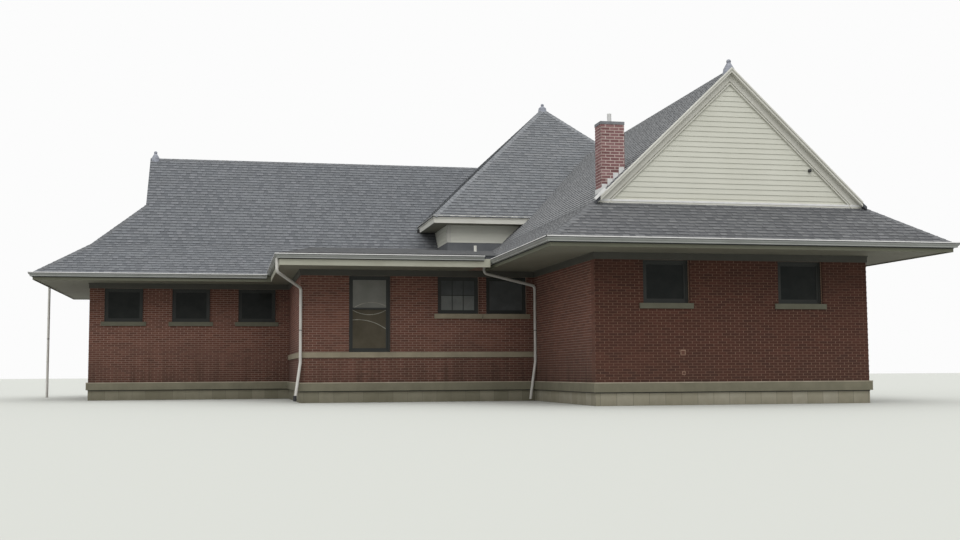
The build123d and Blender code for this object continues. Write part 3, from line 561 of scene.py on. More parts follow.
fold_cloth = coating("curtain edge", (170, 168, 156), (120, 118, 108), 0.25, 0.9, 40, 0.9)
for glass in (pane_glass, upper_pane, lower_pane, sheltered_pane, lit_pane):
    glass.node_tree.nodes["Principled BSDF"].inputs["Specular IOR Level"].default_value = 0.05

cad_finishes = {
    mortar: ["back_wall", "infill_front_wall", "infill_left_wall", "main_front_wall", "main_left_wall",
             "right_wall", "wing_left_wall"],
    shaded_wing_mortar: ["wing_front_wall"],
    chimney_mortar: ["chimney"],
    cap_cement: ["chimney_cap"],
    cut_stone: ["belt_course"],
    sill_stone: ["window_sills"],
    base_stone: ["water_table"],
    block_joint: ["foundation"],
    roof_felt: ["infill_roof", "main_roof_back", "main_roof_front", "main_roof_left", "tower_roof_back",
                "tower_roof_front", "tower_roof_left", "tower_roof_right", "wing_front_skirt",
                "wing_roof_left", "wing_roof_right"],
    attic_paint: ["attic_walls"],
    siding_paint: ["gable_wall", "left_gablet"],
    trim_paint: ["gable_trim", "tower_fascia", "roof_vent"],
    eave_paint: ["infill_fascia"],
    shaded_olive_paint: ["main_fascia"],
    soffit_paint: ["soffit", "tower_soffit"],
    frieze_paint: ["frieze"],
    gutter_metal: ["infill_gutter", "main_gutter"],
    pipe_metal: ["corner_downspout", "infill_downspout", "left_downspout"],
    green_paint: ["back_window_frames", "infill_window_frames", "left_window_frames",
                  "main_window_frames", "right_window_frames", "wing_window_frames"],
    door_finish: ["doors"],
    sheet_metal: ["finials"],
    plaster: ["floor"],
    pane_glass: ["window_glass"],
}
for material, names in cad_finishes.items():
    for name in names:
        nodes[name].data.materials.clear()
        nodes[name].data.materials.append(material)


# Brickwork
Wall = namedtuple("Wall", "name origin outward length frames")
walls = [
    Wall("wing_front", (wing_left_face, front_face), FRONT, right_face - wing_left_face,
         "wing_window_frames"),
    Wall("wing_left", (wing_left_face, infill_front_face), LEFT, infill_front_face - front_face, None),
    Wall("infill_front", (infill_left_face, infill_front_face), FRONT, wing_left_face - infill_left_face,
         "infill_window_frames"),
    Wall("infill_left", (infill_left_face, main_front_face), LEFT, main_front_face - infill_front_face,
         None),
    Wall("main_front", (left_face, main_front_face), FRONT, infill_left_face - left_face,
         "main_window_frames"),
    Wall("main_left", (left_face, back_face), LEFT, back_face - main_front_face, "left_window_frames"),
    Wall("back", (right_face, back_face), BACK, right_face - left_face, "back_window_frames"),
    Wall("right", (right_face, front_face), RIGHT, back_face - front_face, "right_window_frames"),
]

brick_pitch = 0.220
joint = 0.010
brick_proud = 0.004
window_reveal = 0.060
# How far a strip is let into what lies behind it
bite = 0.002


def brick_unit(name, width, height, proud):
    """Face of one brick with its four arrises, open at the back."""
    unit = block(name, (0, 0, -proud), (width, height, proud))
    return drop_faces(unit, lambda face: face.normal.z < -0.5)


def wall_place(wall):
    """Place of a wall's face: x from its left end as seen from outside, y up from the ground."""
    return facing(Vector((*wall.origin, 0)), wall.outward)


def openings_in(wall):
    """(start, end, foot, head) of each opening, along the wall from its left end."""
    if wall.frames is None:
        return []
    place = wall_place(wall).inverted()
    found = []
    for one, other in solids_of(wall.frames):
        a, b = place @ one, place @ other
        found.append((min(a.x, b.x), max(a.x, b.x), min(a.y, b.y), max(a.y, b.y)))
    return found


def brick_field(name, wall, foot, head, pitch=brick_pitch, height=course, proud=brick_proud,
                gap=joint, phase=0.0, openings=()):
    """Running bond over a wall, with its openings left clear."""
    rows = round((head - foot) / height)
    columns = ceil(wall.length / pitch) + 2
    unit = brick_unit(name, pitch - gap, height - gap, proud)
    repeat(unit, columns, (pitch, 0, 0))
    repeat(unit, 2, (pitch / 2, height, 0))
    repeat(unit, ceil(rows / 2), (0, 2 * height, 0))
    unit.data.transform(Matrix.Translation((phase - pitch + gap / 2, foot + gap / 2, 0)))
    saw(unit, (-proud, 0, 0), LEFT)
    saw(unit, (wall.length + proud, 0, 0), RIGHT)
    saw(unit, (0, head, 0), BACK)
    for start, end, bottom, top in openings:
        def near_opening(face):
            return (start - pitch < face.center.x < end + pitch
                    and bottom - height < face.center.y < top + height)
        for point, across in (((start, 0, 0), RIGHT), ((end, 0, 0), RIGHT),
                              ((0, bottom, 0), BACK), ((0, top, 0), BACK)):
            pick(unit, near_opening)
            bpy.ops.mesh.bisect(plane_co=point, plane_no=across)
            done()
        drop_faces(unit, lambda face: (start < face.center.x < end and bottom < face.center.y < top))
    return set_in_place(unit, wall_place(wall))


def jamb_bricks(name, wall, openings):
    """Brick returns on both sides of each opening, back to the window frame."""
    returns = []
    place = wall_place(wall)
    for start, end, bottom, top in openings:
        for edge, outward in ((start, RIGHT), (end, LEFT)):
            first = plinth_top + course * ceil((bottom - plinth_top) / course - 0.01)
            rows = round((top - first) / course)
            unit = brick_unit(name, window_reveal - joint / 2, course - joint, brick_proud / 2)
            repeat(unit, rows, (0, course, 0))
            turn = facing(Vector((edge, first + joint / 2, -window_reveal if edge == start else 0)),
                          outward, BACK)
            set_in_place(unit, place @ turn)
            returns.append(unit)
    return joined(name, returns)


brick_phase = {"wing_left": -(walls[1].length % brick_pitch) + brick_pitch / 2}
for wall in walls:
    holes = openings_in(wall)
    field = brick_field(wall.name + "_bricks", wall, plinth_top, brick_top,
                        phase=brick_phase.get(wall.name, 0.0), openings=holes)
    # The wing's front takes the darker brick, painted shade under its eaves
    brick = shaded_wing_brick if wall.name == "wing_front" else red_brick
    finished(field, brick)
    if holes:
        finished(jamb_bricks(wall.name + "_jambs", wall, holes), brick)

# Foundation blocks under the stone base
block_pitch, block_proud, block_gap, block_phase = 0.406, 0.003, 0.009, 0.1
for wall in walls:
    blocks = brick_field(wall.name + "_blocks", wall, 0.0, foundation_top, pitch=block_pitch,
                         height=foundation_top, proud=block_proud, gap=block_gap, phase=block_phase)
    finished(blocks, block_stone if wall.name.startswith("wing") else damp_stone)


def band(name, reach, foot, head, proud, material):
    """Level strip along all the walls, a reach outside their faces."""
    strips = []
    for wall in walls:
        strip = block(name, (-reach - proud, foot, reach - bite),
                      (wall.length + reach + proud, head, reach + proud))
        strips.append(set_in_place(strip, wall_place(wall)))
    finished(joined(name, strips), material)


base_reach = front_face - low("water_table").y
# Painted highlight: a pale strip along the top edge of the stone base
band("base_wash_highlight", base_reach, plinth_top - 0.020, plinth_top + 0.003, 0.004, base_top_highlight)
# Painted shadow: a dark strip under the stone base
band("base_shadow_line", 0.0, foundation_top - 0.020, foundation_top, 0.010, dark_trim_and_painted_shade)
band("frieze_moulding", front_face - low("frieze").y, soffit_level - 0.030, soffit_level, 0.015,
     frieze_paint)


# Shingles: each course is a strip of thick tabs with thin stretches between them
exposure = 0.150
tab_gap, butt, thin_butt, tab_head = 0.004, 0.013, 0.006, 0.001
strip_tabs = (0.17, 0.13, 0.24, 0.15, 0.12, 0.22, 0.19, 0.11, 0.16, 0.20)
strip_width = sum(strip_tabs)
# How far each course is moved along, and how far the next turn of courses moves on
course_shifts = (0.0, 0.61, 0.29, 1.05, 0.44, 1.37, 0.83)
turn_shift = 0.37


def mark_height(piece):
    """Notes how far up its course each corner lies, for the shadow at its head."""
    height = piece.data.attributes.new("up_the_course", "FLOAT", "POINT")
    height.data.foreach_set("value", [float(corner.co.y > exposure / 2) for corner in piece.data.vertices])
    return piece


def tab_unit(name, start, width, thickness):
    """One tab: a wedge, thick at its lower edge."""
    unit = block(name, (start, 0, -tab_head), (start + width - tab_gap, exposure, thickness))
    shift_corners(unit, lambda corner: corner.co.y > exposure / 2 and corner.co.z > 0,
                  (0, 0, tab_head - thickness))
    return mark_height(drop_faces(unit, lambda face: face.normal.z < -0.5 or face.normal.y > 0.9))


def shingle_strip(name, thick):
    """The thick tabs of one strip, or the thin stretches between them."""
    tabs, start = [], 0
    for index, width in enumerate(strip_tabs):
        if (index % 2 == 0) == thick:
            tabs.append(tab_unit(name, start, width, butt if thick else thin_butt))
        start += width
    return joined(name, tabs)


def slope_place(corner, down, rise):
    """Place of a roof slope that falls towards a level direction, from a corner of its eave."""
    length = (1 + rise * rise) ** 0.5
    up_slope = Vector((-down.x, -down.y, rise)) / length
    outward = Vector((down.x * rise, down.y * rise, 1)) / length
    return facing(corner, outward, up_slope)


def shingles(name, thick, corner, down, rise, width, run, cuts, overhang=0.03):
    """Courses of tabs up one slope, trimmed along its hips and valleys.

    corner is the eave's left end as seen from outside, run is the slope's level depth, and cuts holds
    (point, level direction to clear, which tabs).
    """
    rows = ceil((run * (1 + rise * rise) ** 0.5 + overhang) / exposure)
    turns = ceil(rows / len(course_shifts))
    strip = shingle_strip(name, thick)
    repeat(strip, ceil((width + turns * turn_shift) / strip_width) + 2, (strip_width, 0, 0))
    courses = []
    for index, shift in enumerate(course_shifts):
        row = copied(strip, name)
        row.data.transform(Matrix.Translation((-shift - strip_width, index * exposure - overhang, 0)))
        courses.append(row)
    bpy.data.objects.remove(strip)
    unit = joined(name, courses)
    repeat(unit, turns, (-turn_shift, len(course_shifts) * exposure, 0))
    set_in_place(unit, slope_place(corner, down, rise))
    for point, towards, *which in cuts:
        saw(unit, Vector((*point, 0)), Vector((*towards, 0)), *which)
    pick(unit, everything)
    bpy.ops.mesh.select_all(action="SELECT")
    bpy.ops.mesh.delete_loose()
    done()
    return unit


def slope(name, corner, down, rise, width, run, cuts, tabs=shingle, between=thin_shingle):
    """Thick tabs and thin stretches of one roof slope."""
    for thick, material in ((True, tabs), (False, between)):
        part = name + ("_tabs" if thick else "_between")
        finished(shingles(part, thick, Vector(corner), down, rise, width, run, cuts), material)


def below_tower(face):
    return face.center.z < tower_soffit_level


def above_tower_soffit(face):
    return face.center.z >= tower_soffit_level


def clear_of_right_attic(face):
    return below_tower(face) and face.center.x < attic_right - exposure / 2


def clear_of_back_attic(face):
    return below_tower(face) and face.center.y < attic_back - exposure / 2


attic_left, attic_right = tower_x - attic_half, tower_x + attic_half
attic_front, attic_back = tower_y - attic_half, tower_y + attic_half
# Where the tower's valleys would start, level with its soffit
valley_left, valley_front = tower_x - tower_crown_half, tower_y - tower_crown_half
soffit_run = (tower_soffit_level - break_height) / upper_rise

# The wing: skirt under the gable, left and right slopes
slope("wing_skirt", (wing_eave_x, -eave_y, eave_top), FRONT, skirt_rise,
      eave_x - wing_eave_x, rafter_reach,
      [((wing_eave_x, -eave_y), (-1, 1)), ((eave_x, -eave_y), (1, 1)), ((0, front_face), (0, 1))],
      lower_shingle, lower_between)
slope("wing_left_low", (wing_eave_x, main_front_face, eave_top), LEFT, skirt_rise,
      main_front_face + eave_y, rafter_reach,
      [((wing_eave_x, -eave_y), (1, -1)), ((wing_left_face, 0), (1, 0)),
       ((wing_eave_x - 0.02, infill_eave_y),
        (infill_eave_y - main_front_face, wing_left_face - infill_valley_x))],
      side_shingle, side_shingle)
slope("wing_left_high", (wing_left_face, tower_y, break_height), LEFT, upper_rise,
      tower_y - verge_y, wing_ridge_x - wing_left_face,
      [((0, verge_y), (0, -1)), ((wing_ridge_x, 0), (1, 0)), ((wing_left_face, 0), (-1, 0)),
       ((0, attic_front), (0, 1), below_tower),
       ((wing_left_face + soffit_run, valley_front), (-1, 1), above_tower_soffit)],
      side_shingle, side_shingle)
slope("wing_right_high", (right_face, verge_y, break_height), RIGHT, upper_rise,
      back_face - verge_y, right_face - wing_ridge_x,
      [((0, verge_y), (0, -1)), ((wing_ridge_x, 0), (-1, 0)), ((right_face, 0), (1, 0)),
       ((right_face, back_face), (-1, 1)), ((0, attic_front), (0, 1), clear_of_right_attic),
       ((right_face - soffit_run, valley_front), (1, 1), above_tower_soffit)],
      side_shingle, side_shingle)
slope("right_low", (eave_x, -eave_y, eave_top), RIGHT, skirt_rise, 2 * eave_y, rafter_reach,
      [((eave_x, -eave_y), (-1, -1)), ((eave_x, eave_y), (-1, 1)), ((right_face, 0), (-1, 0))])


# The long body, hipped at its far end up to the small gable
def under_gablet(face):
    return abs(face.center.y - main_ridge_y) > gablet_half


def beside_gablet(face):
    return abs(face.center.y - main_ridge_y) <= gablet_half


gablet_half = main_ridge_y - main_front_face - (gablet_verge_x - left_face)
slope("main_front_low", (-eave_x, main_eave_y, eave_top), FRONT, skirt_rise,
      infill_eave_x + eave_x + 2, rafter_reach,
      [((-eave_x, main_eave_y), (-1, 1)), ((0, main_front_face), (0, 1)),
       ((infill_eave_x + 0.1, infill_valley_y), (1, -1))])
slope("main_front_high", (left_face, main_front_face, break_height), FRONT, upper_rise,
      tower_x - left_face, main_ridge_y - main_front_face,
      [((left_face, main_front_face), (-1, 1), under_gablet), ((gablet_verge_x, 0), (-1, 0), beside_gablet),
       ((0, main_ridge_y), (0, 1)), ((0, main_front_face), (0, -1)),
       ((attic_left, 0), (1, 0), below_tower),
       ((valley_left, main_front_face + soffit_run), (1, -1), above_tower_soffit)])
slope("main_back_low", (eave_x, eave_y, eave_top), BACK, skirt_rise, 2 * eave_x, rafter_reach,
      [((eave_x, eave_y), (1, -1)), ((-eave_x, eave_y), (-1, -1)), ((0, back_face), (0, -1))])
slope("main_back_high", (right_face, back_face, break_height), BACK, upper_rise,
      right_face - left_face, back_face - main_ridge_y,
      [((left_face, back_face), (-1, -1), under_gablet), ((gablet_verge_x, 0), (-1, 0), beside_gablet),
       ((0, main_ridge_y), (0, -1)), ((0, back_face), (0, 1)), ((right_face, back_face), (1, -1)),
       ((attic_left, 0), (1, 0), clear_of_back_attic),
       ((valley_left, back_face - soffit_run), (1, 1), above_tower_soffit)])
slope("main_left_low", (-eave_x, eave_y, eave_top), LEFT, skirt_rise,
      eave_y - main_eave_y, rafter_reach,
      [((-eave_x, eave_y), (1, 1)), ((-eave_x, main_eave_y), (1, -1)), ((left_face, 0), (1, 0))])
slope("main_left_high", (left_face, back_face, break_height), LEFT, upper_rise,
      back_face - main_front_face, gablet_x - left_face,
      [((left_face, back_face), (1, 1)), ((left_face, main_front_face), (1, -1)),
       ((gablet_x, 0), (1, 0)), ((left_face, 0), (-1, 0))])

# The infill's low roof
hip_way = Vector((infill_hip_x - infill_eave_x, main_front_face - infill_eave_y))
valley_way = Vector((wing_left_face - infill_valley_x, main_front_face - infill_eave_y))
slope("infill_front", (infill_eave_x, infill_eave_y, infill_eave_top), FRONT, infill_rise,
      wing_left_face - infill_eave_x, main_front_face - infill_eave_y,
      [((infill_eave_x, infill_eave_y), (-hip_way.y, hip_way.x)),
       ((infill_valley_x, infill_eave_y), (valley_way.y, -valley_way.x)), ((0, main_front_face), (0, 1))],
      low_roofing, low_roofing)
slope("infill_left", (infill_eave_x, main_front_face, infill_eave_top), LEFT, skirt_rise,
      main_front_face - infill_eave_y, infill_hip_x - infill_eave_x,
      [((infill_eave_x, infill_eave_y), (hip_way.y, -hip_way.x)),
       ((infill_eave_x, infill_valley_y), (-1, 1))])

# The tower
tower_edge = tower_crown_half + 0.01
for name, down in (("tower_front", FRONT), ("tower_right", RIGHT), ("tower_back", BACK),
                   ("tower_left", LEFT)):
    side = UP.cross(down)
    middle = Vector((tower_x, tower_y, tower_apex - tower_edge * upper_rise))
    corner = middle + tower_edge * down - tower_edge * side
    hips = [((tower_x, tower_y), (way - down).xy) for way in (-side, side)]
    slope(name, corner, down, upper_rise, 2 * tower_edge, tower_edge, hips,
          pale_shingle, pale_between)

# Caps folded over the hips and ridges
cap_side, cap_thickness = 0.14, 0.010


def folded_caps(name, start, end, first_outward, second_outward):
    """Overlapping caps along a hip or ridge, folded to the slopes on both sides."""
    start, end = Vector(start), Vector(end)
    way = (end - start).normalized()
    outward = (first_outward + second_outward)
    outward = (outward - outward.dot(way) * way).normalized()
    side = first_outward.cross(way).normalized()
    fall, spread = abs(side.dot(outward)) * cap_side, abs(side.dot(way.cross(outward))) * cap_side
    put_aside()
    bpy.ops.mesh.primitive_grid_add(x_subdivisions=2, y_subdivisions=1, size=1)
    cap = bpy.context.object
    cap.name = name
    cap.scale = (2 * spread, exposure, 1)
    lay_down(cap)
    shift_corners(cap, lambda corner: abs(corner.co.x) > spread / 2, (0, 0, -fall))
    shift_corners(cap, everything, (0, exposure / 2, cap_thickness))
    shift_corners(cap, lambda corner: corner.co.y > exposure / 2, (0, 0, -cap_thickness / 2))
    take(cap)
    depth = cap.modifiers.new("depth", "SOLIDIFY")
    depth.thickness = cap_thickness
    bpy.ops.object.modifier_apply(modifier=depth.name)
    mark_height(cap)
    repeat(cap, ceil((end - start).length / exposure), (0, exposure, 0))
    set_in_place(cap, facing(start, outward, way))
    return cap


def outward_of(down, rise):
    return Vector((down.x * rise, down.y * rise, 1)).normalized()


caps = [
    ("wing_ridge_caps", (wing_ridge_x, verge_y, ridge_top),
     (wing_ridge_x, tower_y - (tower_apex - ridge_top) / upper_rise, ridge_top), LEFT, RIGHT, upper_rise,
     upper_rise),
    ("main_ridge_caps", (gablet_verge_x, main_ridge_y, ridge_top),
     (tower_x - (tower_apex - ridge_top) / upper_rise, main_ridge_y, ridge_top), FRONT, BACK, upper_rise,
     upper_rise),
    ("wing_left_hip_caps", (wing_eave_x, -eave_y, eave_top), (wing_left_face, front_face, break_height),
     LEFT, FRONT, skirt_rise, skirt_rise),
    ("wing_right_hip_caps", (eave_x, -eave_y, eave_top), (right_face, front_face, break_height),
     FRONT, RIGHT, skirt_rise, skirt_rise),
    ("back_right_hip_caps", (eave_x, eave_y, eave_top), (right_face, back_face, break_height),
     RIGHT, BACK, skirt_rise, skirt_rise),
    ("back_left_hip_caps", (-eave_x, eave_y, eave_top), (left_face, back_face, break_height),
     BACK, LEFT, skirt_rise, skirt_rise),
    ("main_left_hip_caps", (-eave_x, main_eave_y, eave_top), (left_face, main_front_face, break_height),
     LEFT, FRONT, skirt_rise, skirt_rise),
    ("gablet_front_hip_caps", (left_face, main_front_face, break_height),
     (gablet_verge_x, main_ridge_y - gablet_half, break_height + (gablet_verge_x - left_face) * upper_rise),
     LEFT, FRONT, upper_rise, upper_rise),
    ("gablet_back_hip_caps", (left_face, back_face, break_height),
     (gablet_verge_x, main_ridge_y + gablet_half, break_height + (gablet_verge_x - left_face) * upper_rise),
     BACK, LEFT, upper_rise, upper_rise),
    ("infill_hip_caps", (infill_eave_x, infill_eave_y, infill_eave_top),
     (infill_hip_x, main_front_face, break_height), LEFT, FRONT, skirt_rise, infill_rise),
]
tower_peak = Vector((tower_x, tower_y, tower_apex))
for name, first, second in (
        ("tower_front_left_caps", LEFT, FRONT), ("tower_front_right_caps", FRONT, RIGHT),
        ("tower_back_right_caps", RIGHT, BACK), ("tower_back_left_caps", BACK, LEFT)):
    foot = tower_peak + tower_edge * (first + second)
    foot.z = tower_apex - tower_edge * upper_rise
    caps.append((name, foot, tower_peak, first, second, upper_rise, upper_rise))
for name, start, end, first, second, first_rise, second_rise in caps:
    row = folded_caps(name, start, end, outward_of(first, first_rise), outward_of(second, second_rise))
    finished(row, tower_cap_shingle if name.startswith("tower") else cap_shingle)


# Lap siding on the gables and the tower's attic
lap = 0.128
lap_butt, lap_head = 0.018, 0.004


def lap_boards(name, width, height, exposed=lap):
    """Overlapping boards on a face, thicker at their lower edges."""
    board = block(name, (0, 0, -lap_head), (width, exposed, lap_butt))
    shift_corners(board, lambda corner: corner.co.y > exposed / 2 and corner.co.z > 0,
                  (0, 0, lap_head - lap_butt))
    drop_faces(board, lambda face: face.normal.z < -0.5)
    return repeat(board, ceil(height / exposed), (0, exposed, 0))


gable_boards = lap_boards("gable_boards", right_face - wing_left_face, ridge_top - break_height)
set_in_place(gable_boards, facing(Vector((wing_left_face, front_face, break_height)), FRONT))
rake_inner = verge_thickness + 0.1
for start, towards in ((wing_left_face, (-upper_rise, 0, 1)), (right_face, (upper_rise, 0, 1))):
    saw(gable_boards, (start, 0, break_height - rake_inner), towards)
finished(gable_boards, siding_paint)

gablet_foot = low("left_gablet").z + roof_thickness
margin = 0.5
gablet_boards = lap_boards("gablet_boards", 2 * (gablet_half + margin), ridge_top - gablet_foot)
set_in_place(gablet_boards,
             facing(Vector((gablet_x, main_ridge_y + gablet_half + margin, gablet_foot)), LEFT))
for way in (1, -1):
    saw(gablet_boards, (0, main_ridge_y, ridge_top - verge_thickness), (0, way * upper_rise, 1))
finished(gablet_boards, siding_paint)

attic_lap = 0.105
siding_lift, roof_lap = 0.05, 0.03
front_siding_foot = break_height + siding_lift
back_siding_foot = break_height + (right_face - attic_right) * upper_rise + roof_lap
attic_foot = {"attic_front": front_siding_foot, "attic_left": front_siding_foot,
              "attic_back": back_siding_foot, "attic_right": back_siding_foot}
corner_board = 0.10
for name, outward in (("attic_front", FRONT), ("attic_left", LEFT), ("attic_back", BACK),
                      ("attic_right", RIGHT)):
    side = UP.cross(outward)
    corner = Vector((tower_x, tower_y, 0)) + attic_half * outward - attic_half * side
    corner.z = attic_foot[name]
    boards = lap_boards(name + "_boards", 2 * attic_half, tower_soffit_level - attic_foot[name], attic_lap)
    set_in_place(boards, facing(corner, outward))
    saw(boards, (0, 0, tower_soffit_level), UP)
    finished(boards, attic_paint)
    posts = block(name + "_corner_boards", (-lap_butt - 0.004, 0, 0),
                  (corner_board, tower_soffit_level - attic_foot[name], lap_butt + 0.004))
    repeat(posts, 2, (2 * attic_half - corner_board + lap_butt + 0.004, 0, 0))
    set_in_place(posts, facing(corner, outward))
    finished(rounded(posts, 0.002), trim_paint)

# Roofing turned up the attic walls, below their boards
apron_foot, apron_sheet = eave_top, 0.008
aprons = [
    block("apron", (attic_left - apron_sheet, attic_front - apron_sheet, apron_foot),
          (attic_right, attic_front + apron_sheet, front_siding_foot + siding_lift)),
    block("apron", (attic_left - apron_sheet, attic_front, apron_foot),
          (attic_left + apron_sheet, main_ridge_y, front_siding_foot + siding_lift)),
]
finished(joined("attic_aprons", aprons), thin_shingle)

# Rake boards: a crown on the verge, its plain face and underside, and the moulding on the wall boards
verge_run, rake_foot, spare = (right_face - wing_ridge_x) + 0.05, 0.12, 0.4


def rake_strip(name, hang, depth, near, far, side):
    """Strip along one rake of the gable, hang below the roof's edge and depth high, plumb at the ridge."""
    length = verge_run * (1 + upper_rise ** 2) ** 0.5
    strip = block(name, (0, -hang - depth, 0), (length + spare, -hang, abs(far - near)))
    if side > 0:
        strip.data.transform(Matrix.Translation((-length - spare, 0, 0)))
    along = Vector((1, 0, -side * upper_rise)).normalized()
    square = Vector((side * upper_rise, 0, 1)).normalized()
    place = Matrix((along, square, FRONT)).transposed().to_4x4()
    place.translation = (wing_ridge_x + side * verge_run, near, ridge_top - verge_run * upper_rise)
    set_in_place(strip, place)
    saw(strip, (wing_ridge_x, 0, 0), (-side, 0, 0), close=True)
    saw(strip, (0, front_face, break_height), (0, skirt_rise, -1), close=True)
    rake_end = wing_ridge_x + side * (right_face - wing_ridge_x - rake_foot)
    return saw(strip, (rake_end, 0, 0), (side, 0, 0), close=True)


# (hang, depth, near, far, how far its arrises are rounded)
rake_strips = {
    "crown": (-0.012, 0.042, verge_y, verge_y - 0.045, 0.008),
    "fascia": (0.03, 0.05, verge_y, verge_y - 0.020, 0.003),
    "soffit": (0.063, 0.012, verge_y + 0.155, verge_y, 0),
    "moulding": (0.245, 0.030, front_face, front_face - 0.06, 0.006),
}
for side, hand in ((-1, "left"), (1, "right")):
    for kind, (hang, depth, near, far, rounding) in rake_strips.items():
        strip = rake_strip(f"rake_{kind}_{hand}", hang, depth, near, far, side)
        finished(rounded(strip, rounding) if rounding else strip, trim_paint)
trim_proud, trim_foot, trim_head = 0.055, break_height + 0.012, break_height + 0.062
foot_trim = block("gable_foot_trim", (wing_left_face + rake_foot, front_face - trim_proud, trim_foot),
                  (right_face - rake_foot, front_face, trim_head))
finished(rounded(foot_trim, 0.004), white_flashing_and_highlight)

# Chimney bricks with thick joints, its stepped flashing and the sleeve of its flue
chimney_low, chimney_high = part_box("chimney")
chimney_course, chimney_courses, chimney_pitch = 0.074, 24, 0.228
chimney_width = chimney_high.x - chimney_low.x
chimney_depth = chimney_high.y - chimney_low.y
chimney_foot = chimney_high.z - chimney_courses * chimney_course
for name, outward, start, length in (
        ("chimney_front", FRONT, (chimney_low.x, chimney_low.y), chimney_width),
        ("chimney_left", LEFT, (chimney_low.x, chimney_high.y), chimney_depth),
        ("chimney_back", BACK, (chimney_high.x, chimney_high.y), chimney_width),
        ("chimney_right", RIGHT, (chimney_high.x, chimney_low.y), chimney_depth)):
    face = Wall(name, start, outward, length, None)
    turned = 0 if outward in (FRONT, BACK) else chimney_pitch / 2 - chimney_depth % chimney_pitch
    field = brick_field(name + "_bricks", face, chimney_foot, chimney_high.z, pitch=chimney_pitch,
                        height=chimney_course, proud=0.006, gap=0.018, phase=turned)
    finished(field, chimney_brick)

flashing_steps = []
step_count, step_drop, step_height, step_gap = 4, 0.03, 0.19, 0.012
flashing_proud, flashing_bite = 0.013, 0.001
step = chimney_width / step_count
for index in range(step_count):
    step_x = chimney_low.x + index * step
    roof_z = break_height + (step_x - wing_left_face) * upper_rise
    for near, far in ((chimney_low.y - flashing_proud, chimney_low.y + flashing_bite),
                      (chimney_high.y - flashing_bite, chimney_high.y + flashing_proud)):
        flashing_steps.append(block("step", (step_x, near, roof_z - step_drop),
                                    (step_x + step - step_gap, far, roof_z + step_height)))
apron_z = break_height + (chimney_low.x - wing_left_face) * upper_rise
flashing_steps.append(block("apron", (chimney_low.x - 0.016, chimney_low.y - 0.02, apron_z - 0.08),
                            (chimney_low.x + flashing_bite, chimney_high.y + 0.02, apron_z + 0.10)))
# Short bright strip at the foot of the left rake
verge_strip = block("verge", (0, 0.012, 0), (0.36, 0.075, 0.05))
verge_place = facing(Vector((wing_left_face + 0.005, verge_y - bite, break_height)), FRONT,
                     Vector((-upper_rise, 0, 1)).normalized())
flashing_steps.append(set_in_place(verge_strip, verge_place))
finished(joined("chimney_flashing", flashing_steps), white_flashing_and_highlight)


def round_block(name, centre, radius, height):
    """Upright cylinder."""
    put_aside()
    bpy.ops.mesh.primitive_cylinder_add(vertices=24, radius=radius, depth=height, location=centre)
    piece = bpy.context.object
    piece.name = piece.data.name = name
    return lay_down(piece)


flue_from_left, flue_radius, sleeve = 0.290, 0.050, 0.002
flue_height, flue_drop = 0.228, 0.112
flue_centre = (chimney_low.x + flue_from_left, (chimney_low.y + chimney_high.y) / 2,
               high("chimney_cap").z - flue_drop)
finished(round_block("flue_sleeve", flue_centre, flue_radius + sleeve, flue_height), flue_metal)


# Edges of the gutters: a painted highlight on the bead, a painted shadow line under it and a painted shadow
# line on the fascia
def eave_strips(name, points, half, foot, head, material):
    """Strips along level runs between points, one after the other."""
    strips = [block(name, (min(ax, bx) - half, min(ay, by) - half, foot),
                    (max(ax, bx) + half, max(ay, by) + half, head))
              for (ax, ay), (bx, by) in zip(points, points[1:])]
    finished(joined(name, strips), material)


gutter_width, gutter_height = 0.120, 0.120
# How far before the infill's front the wing's gutter ends, and how far in the painted shadow line at the
# low roof's edge lies
gutter_stop, eave_shadow_reach = 0.390, 0.036
fascia_reach = high("main_fascia").x - right_face
infill_fascia_reach = infill_eave_x - low("infill_fascia").x


def main_eave_line(reach):
    return [(wing_left_face - reach, infill_front_face - gutter_stop),
            (wing_left_face - reach, front_face - reach),
            (right_face + reach, front_face - reach), (right_face + reach, back_face + reach),
            (left_face - reach, back_face + reach), (left_face - reach, main_front_face - reach),
            (low("infill_gutter").x, main_front_face - reach)]


def infill_eave_line(reach):
    return [(infill_eave_x - reach, high("infill_gutter").y),
            (infill_eave_x - reach, infill_eave_y - reach),
            (high("infill_gutter").x, infill_eave_y - reach)]


# (distance from the fascia, half width, foot and head from the gutter's top, finish)
gutter_strips = {
    "bead_highlight": (gutter_width - 0.006, 0.010, -0.020, 0.004, white_flashing_and_highlight),
    "groove": (gutter_width - 0.003, 0.005, -0.036, -0.020, dark_trim_and_painted_shade),
    "shadow": (0.003, 0.004, -gutter_height - 0.022, -gutter_height, dark_trim_and_painted_shade),
}
for name, line, fascia, gutter_top in (
        ("main", main_eave_line, fascia_reach, high("main_gutter").z),
        ("infill", infill_eave_line, infill_fascia_reach, high("infill_gutter").z)):
    for kind, (out, half, foot, head, material) in gutter_strips.items():
        eave_strips(f"{name}_gutter_{kind}", line(fascia + out), half, gutter_top + foot,
                    gutter_top + head, material)
fascia_low, fascia_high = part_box("infill_fascia")
gutter_line = wing_left_face - fascia_reach - gutter_width
fascia_end = block("infill_fascia_end", (fascia_high.x - 0.01, fascia_low.y - 0.002, fascia_low.z),
                   (gutter_line, fascia_low.y + 0.023, high("main_gutter").z))
finished(fascia_end, eave_paint)
# Painted shadow: a dark line between the low roof's edge and its gutter
eave_strips("infill_eave_shadow_line", infill_eave_line(eave_shadow_reach), 0.004, infill_eave_top - 0.02,
            infill_eave_top + 0.012, dark_trim_and_painted_shade)

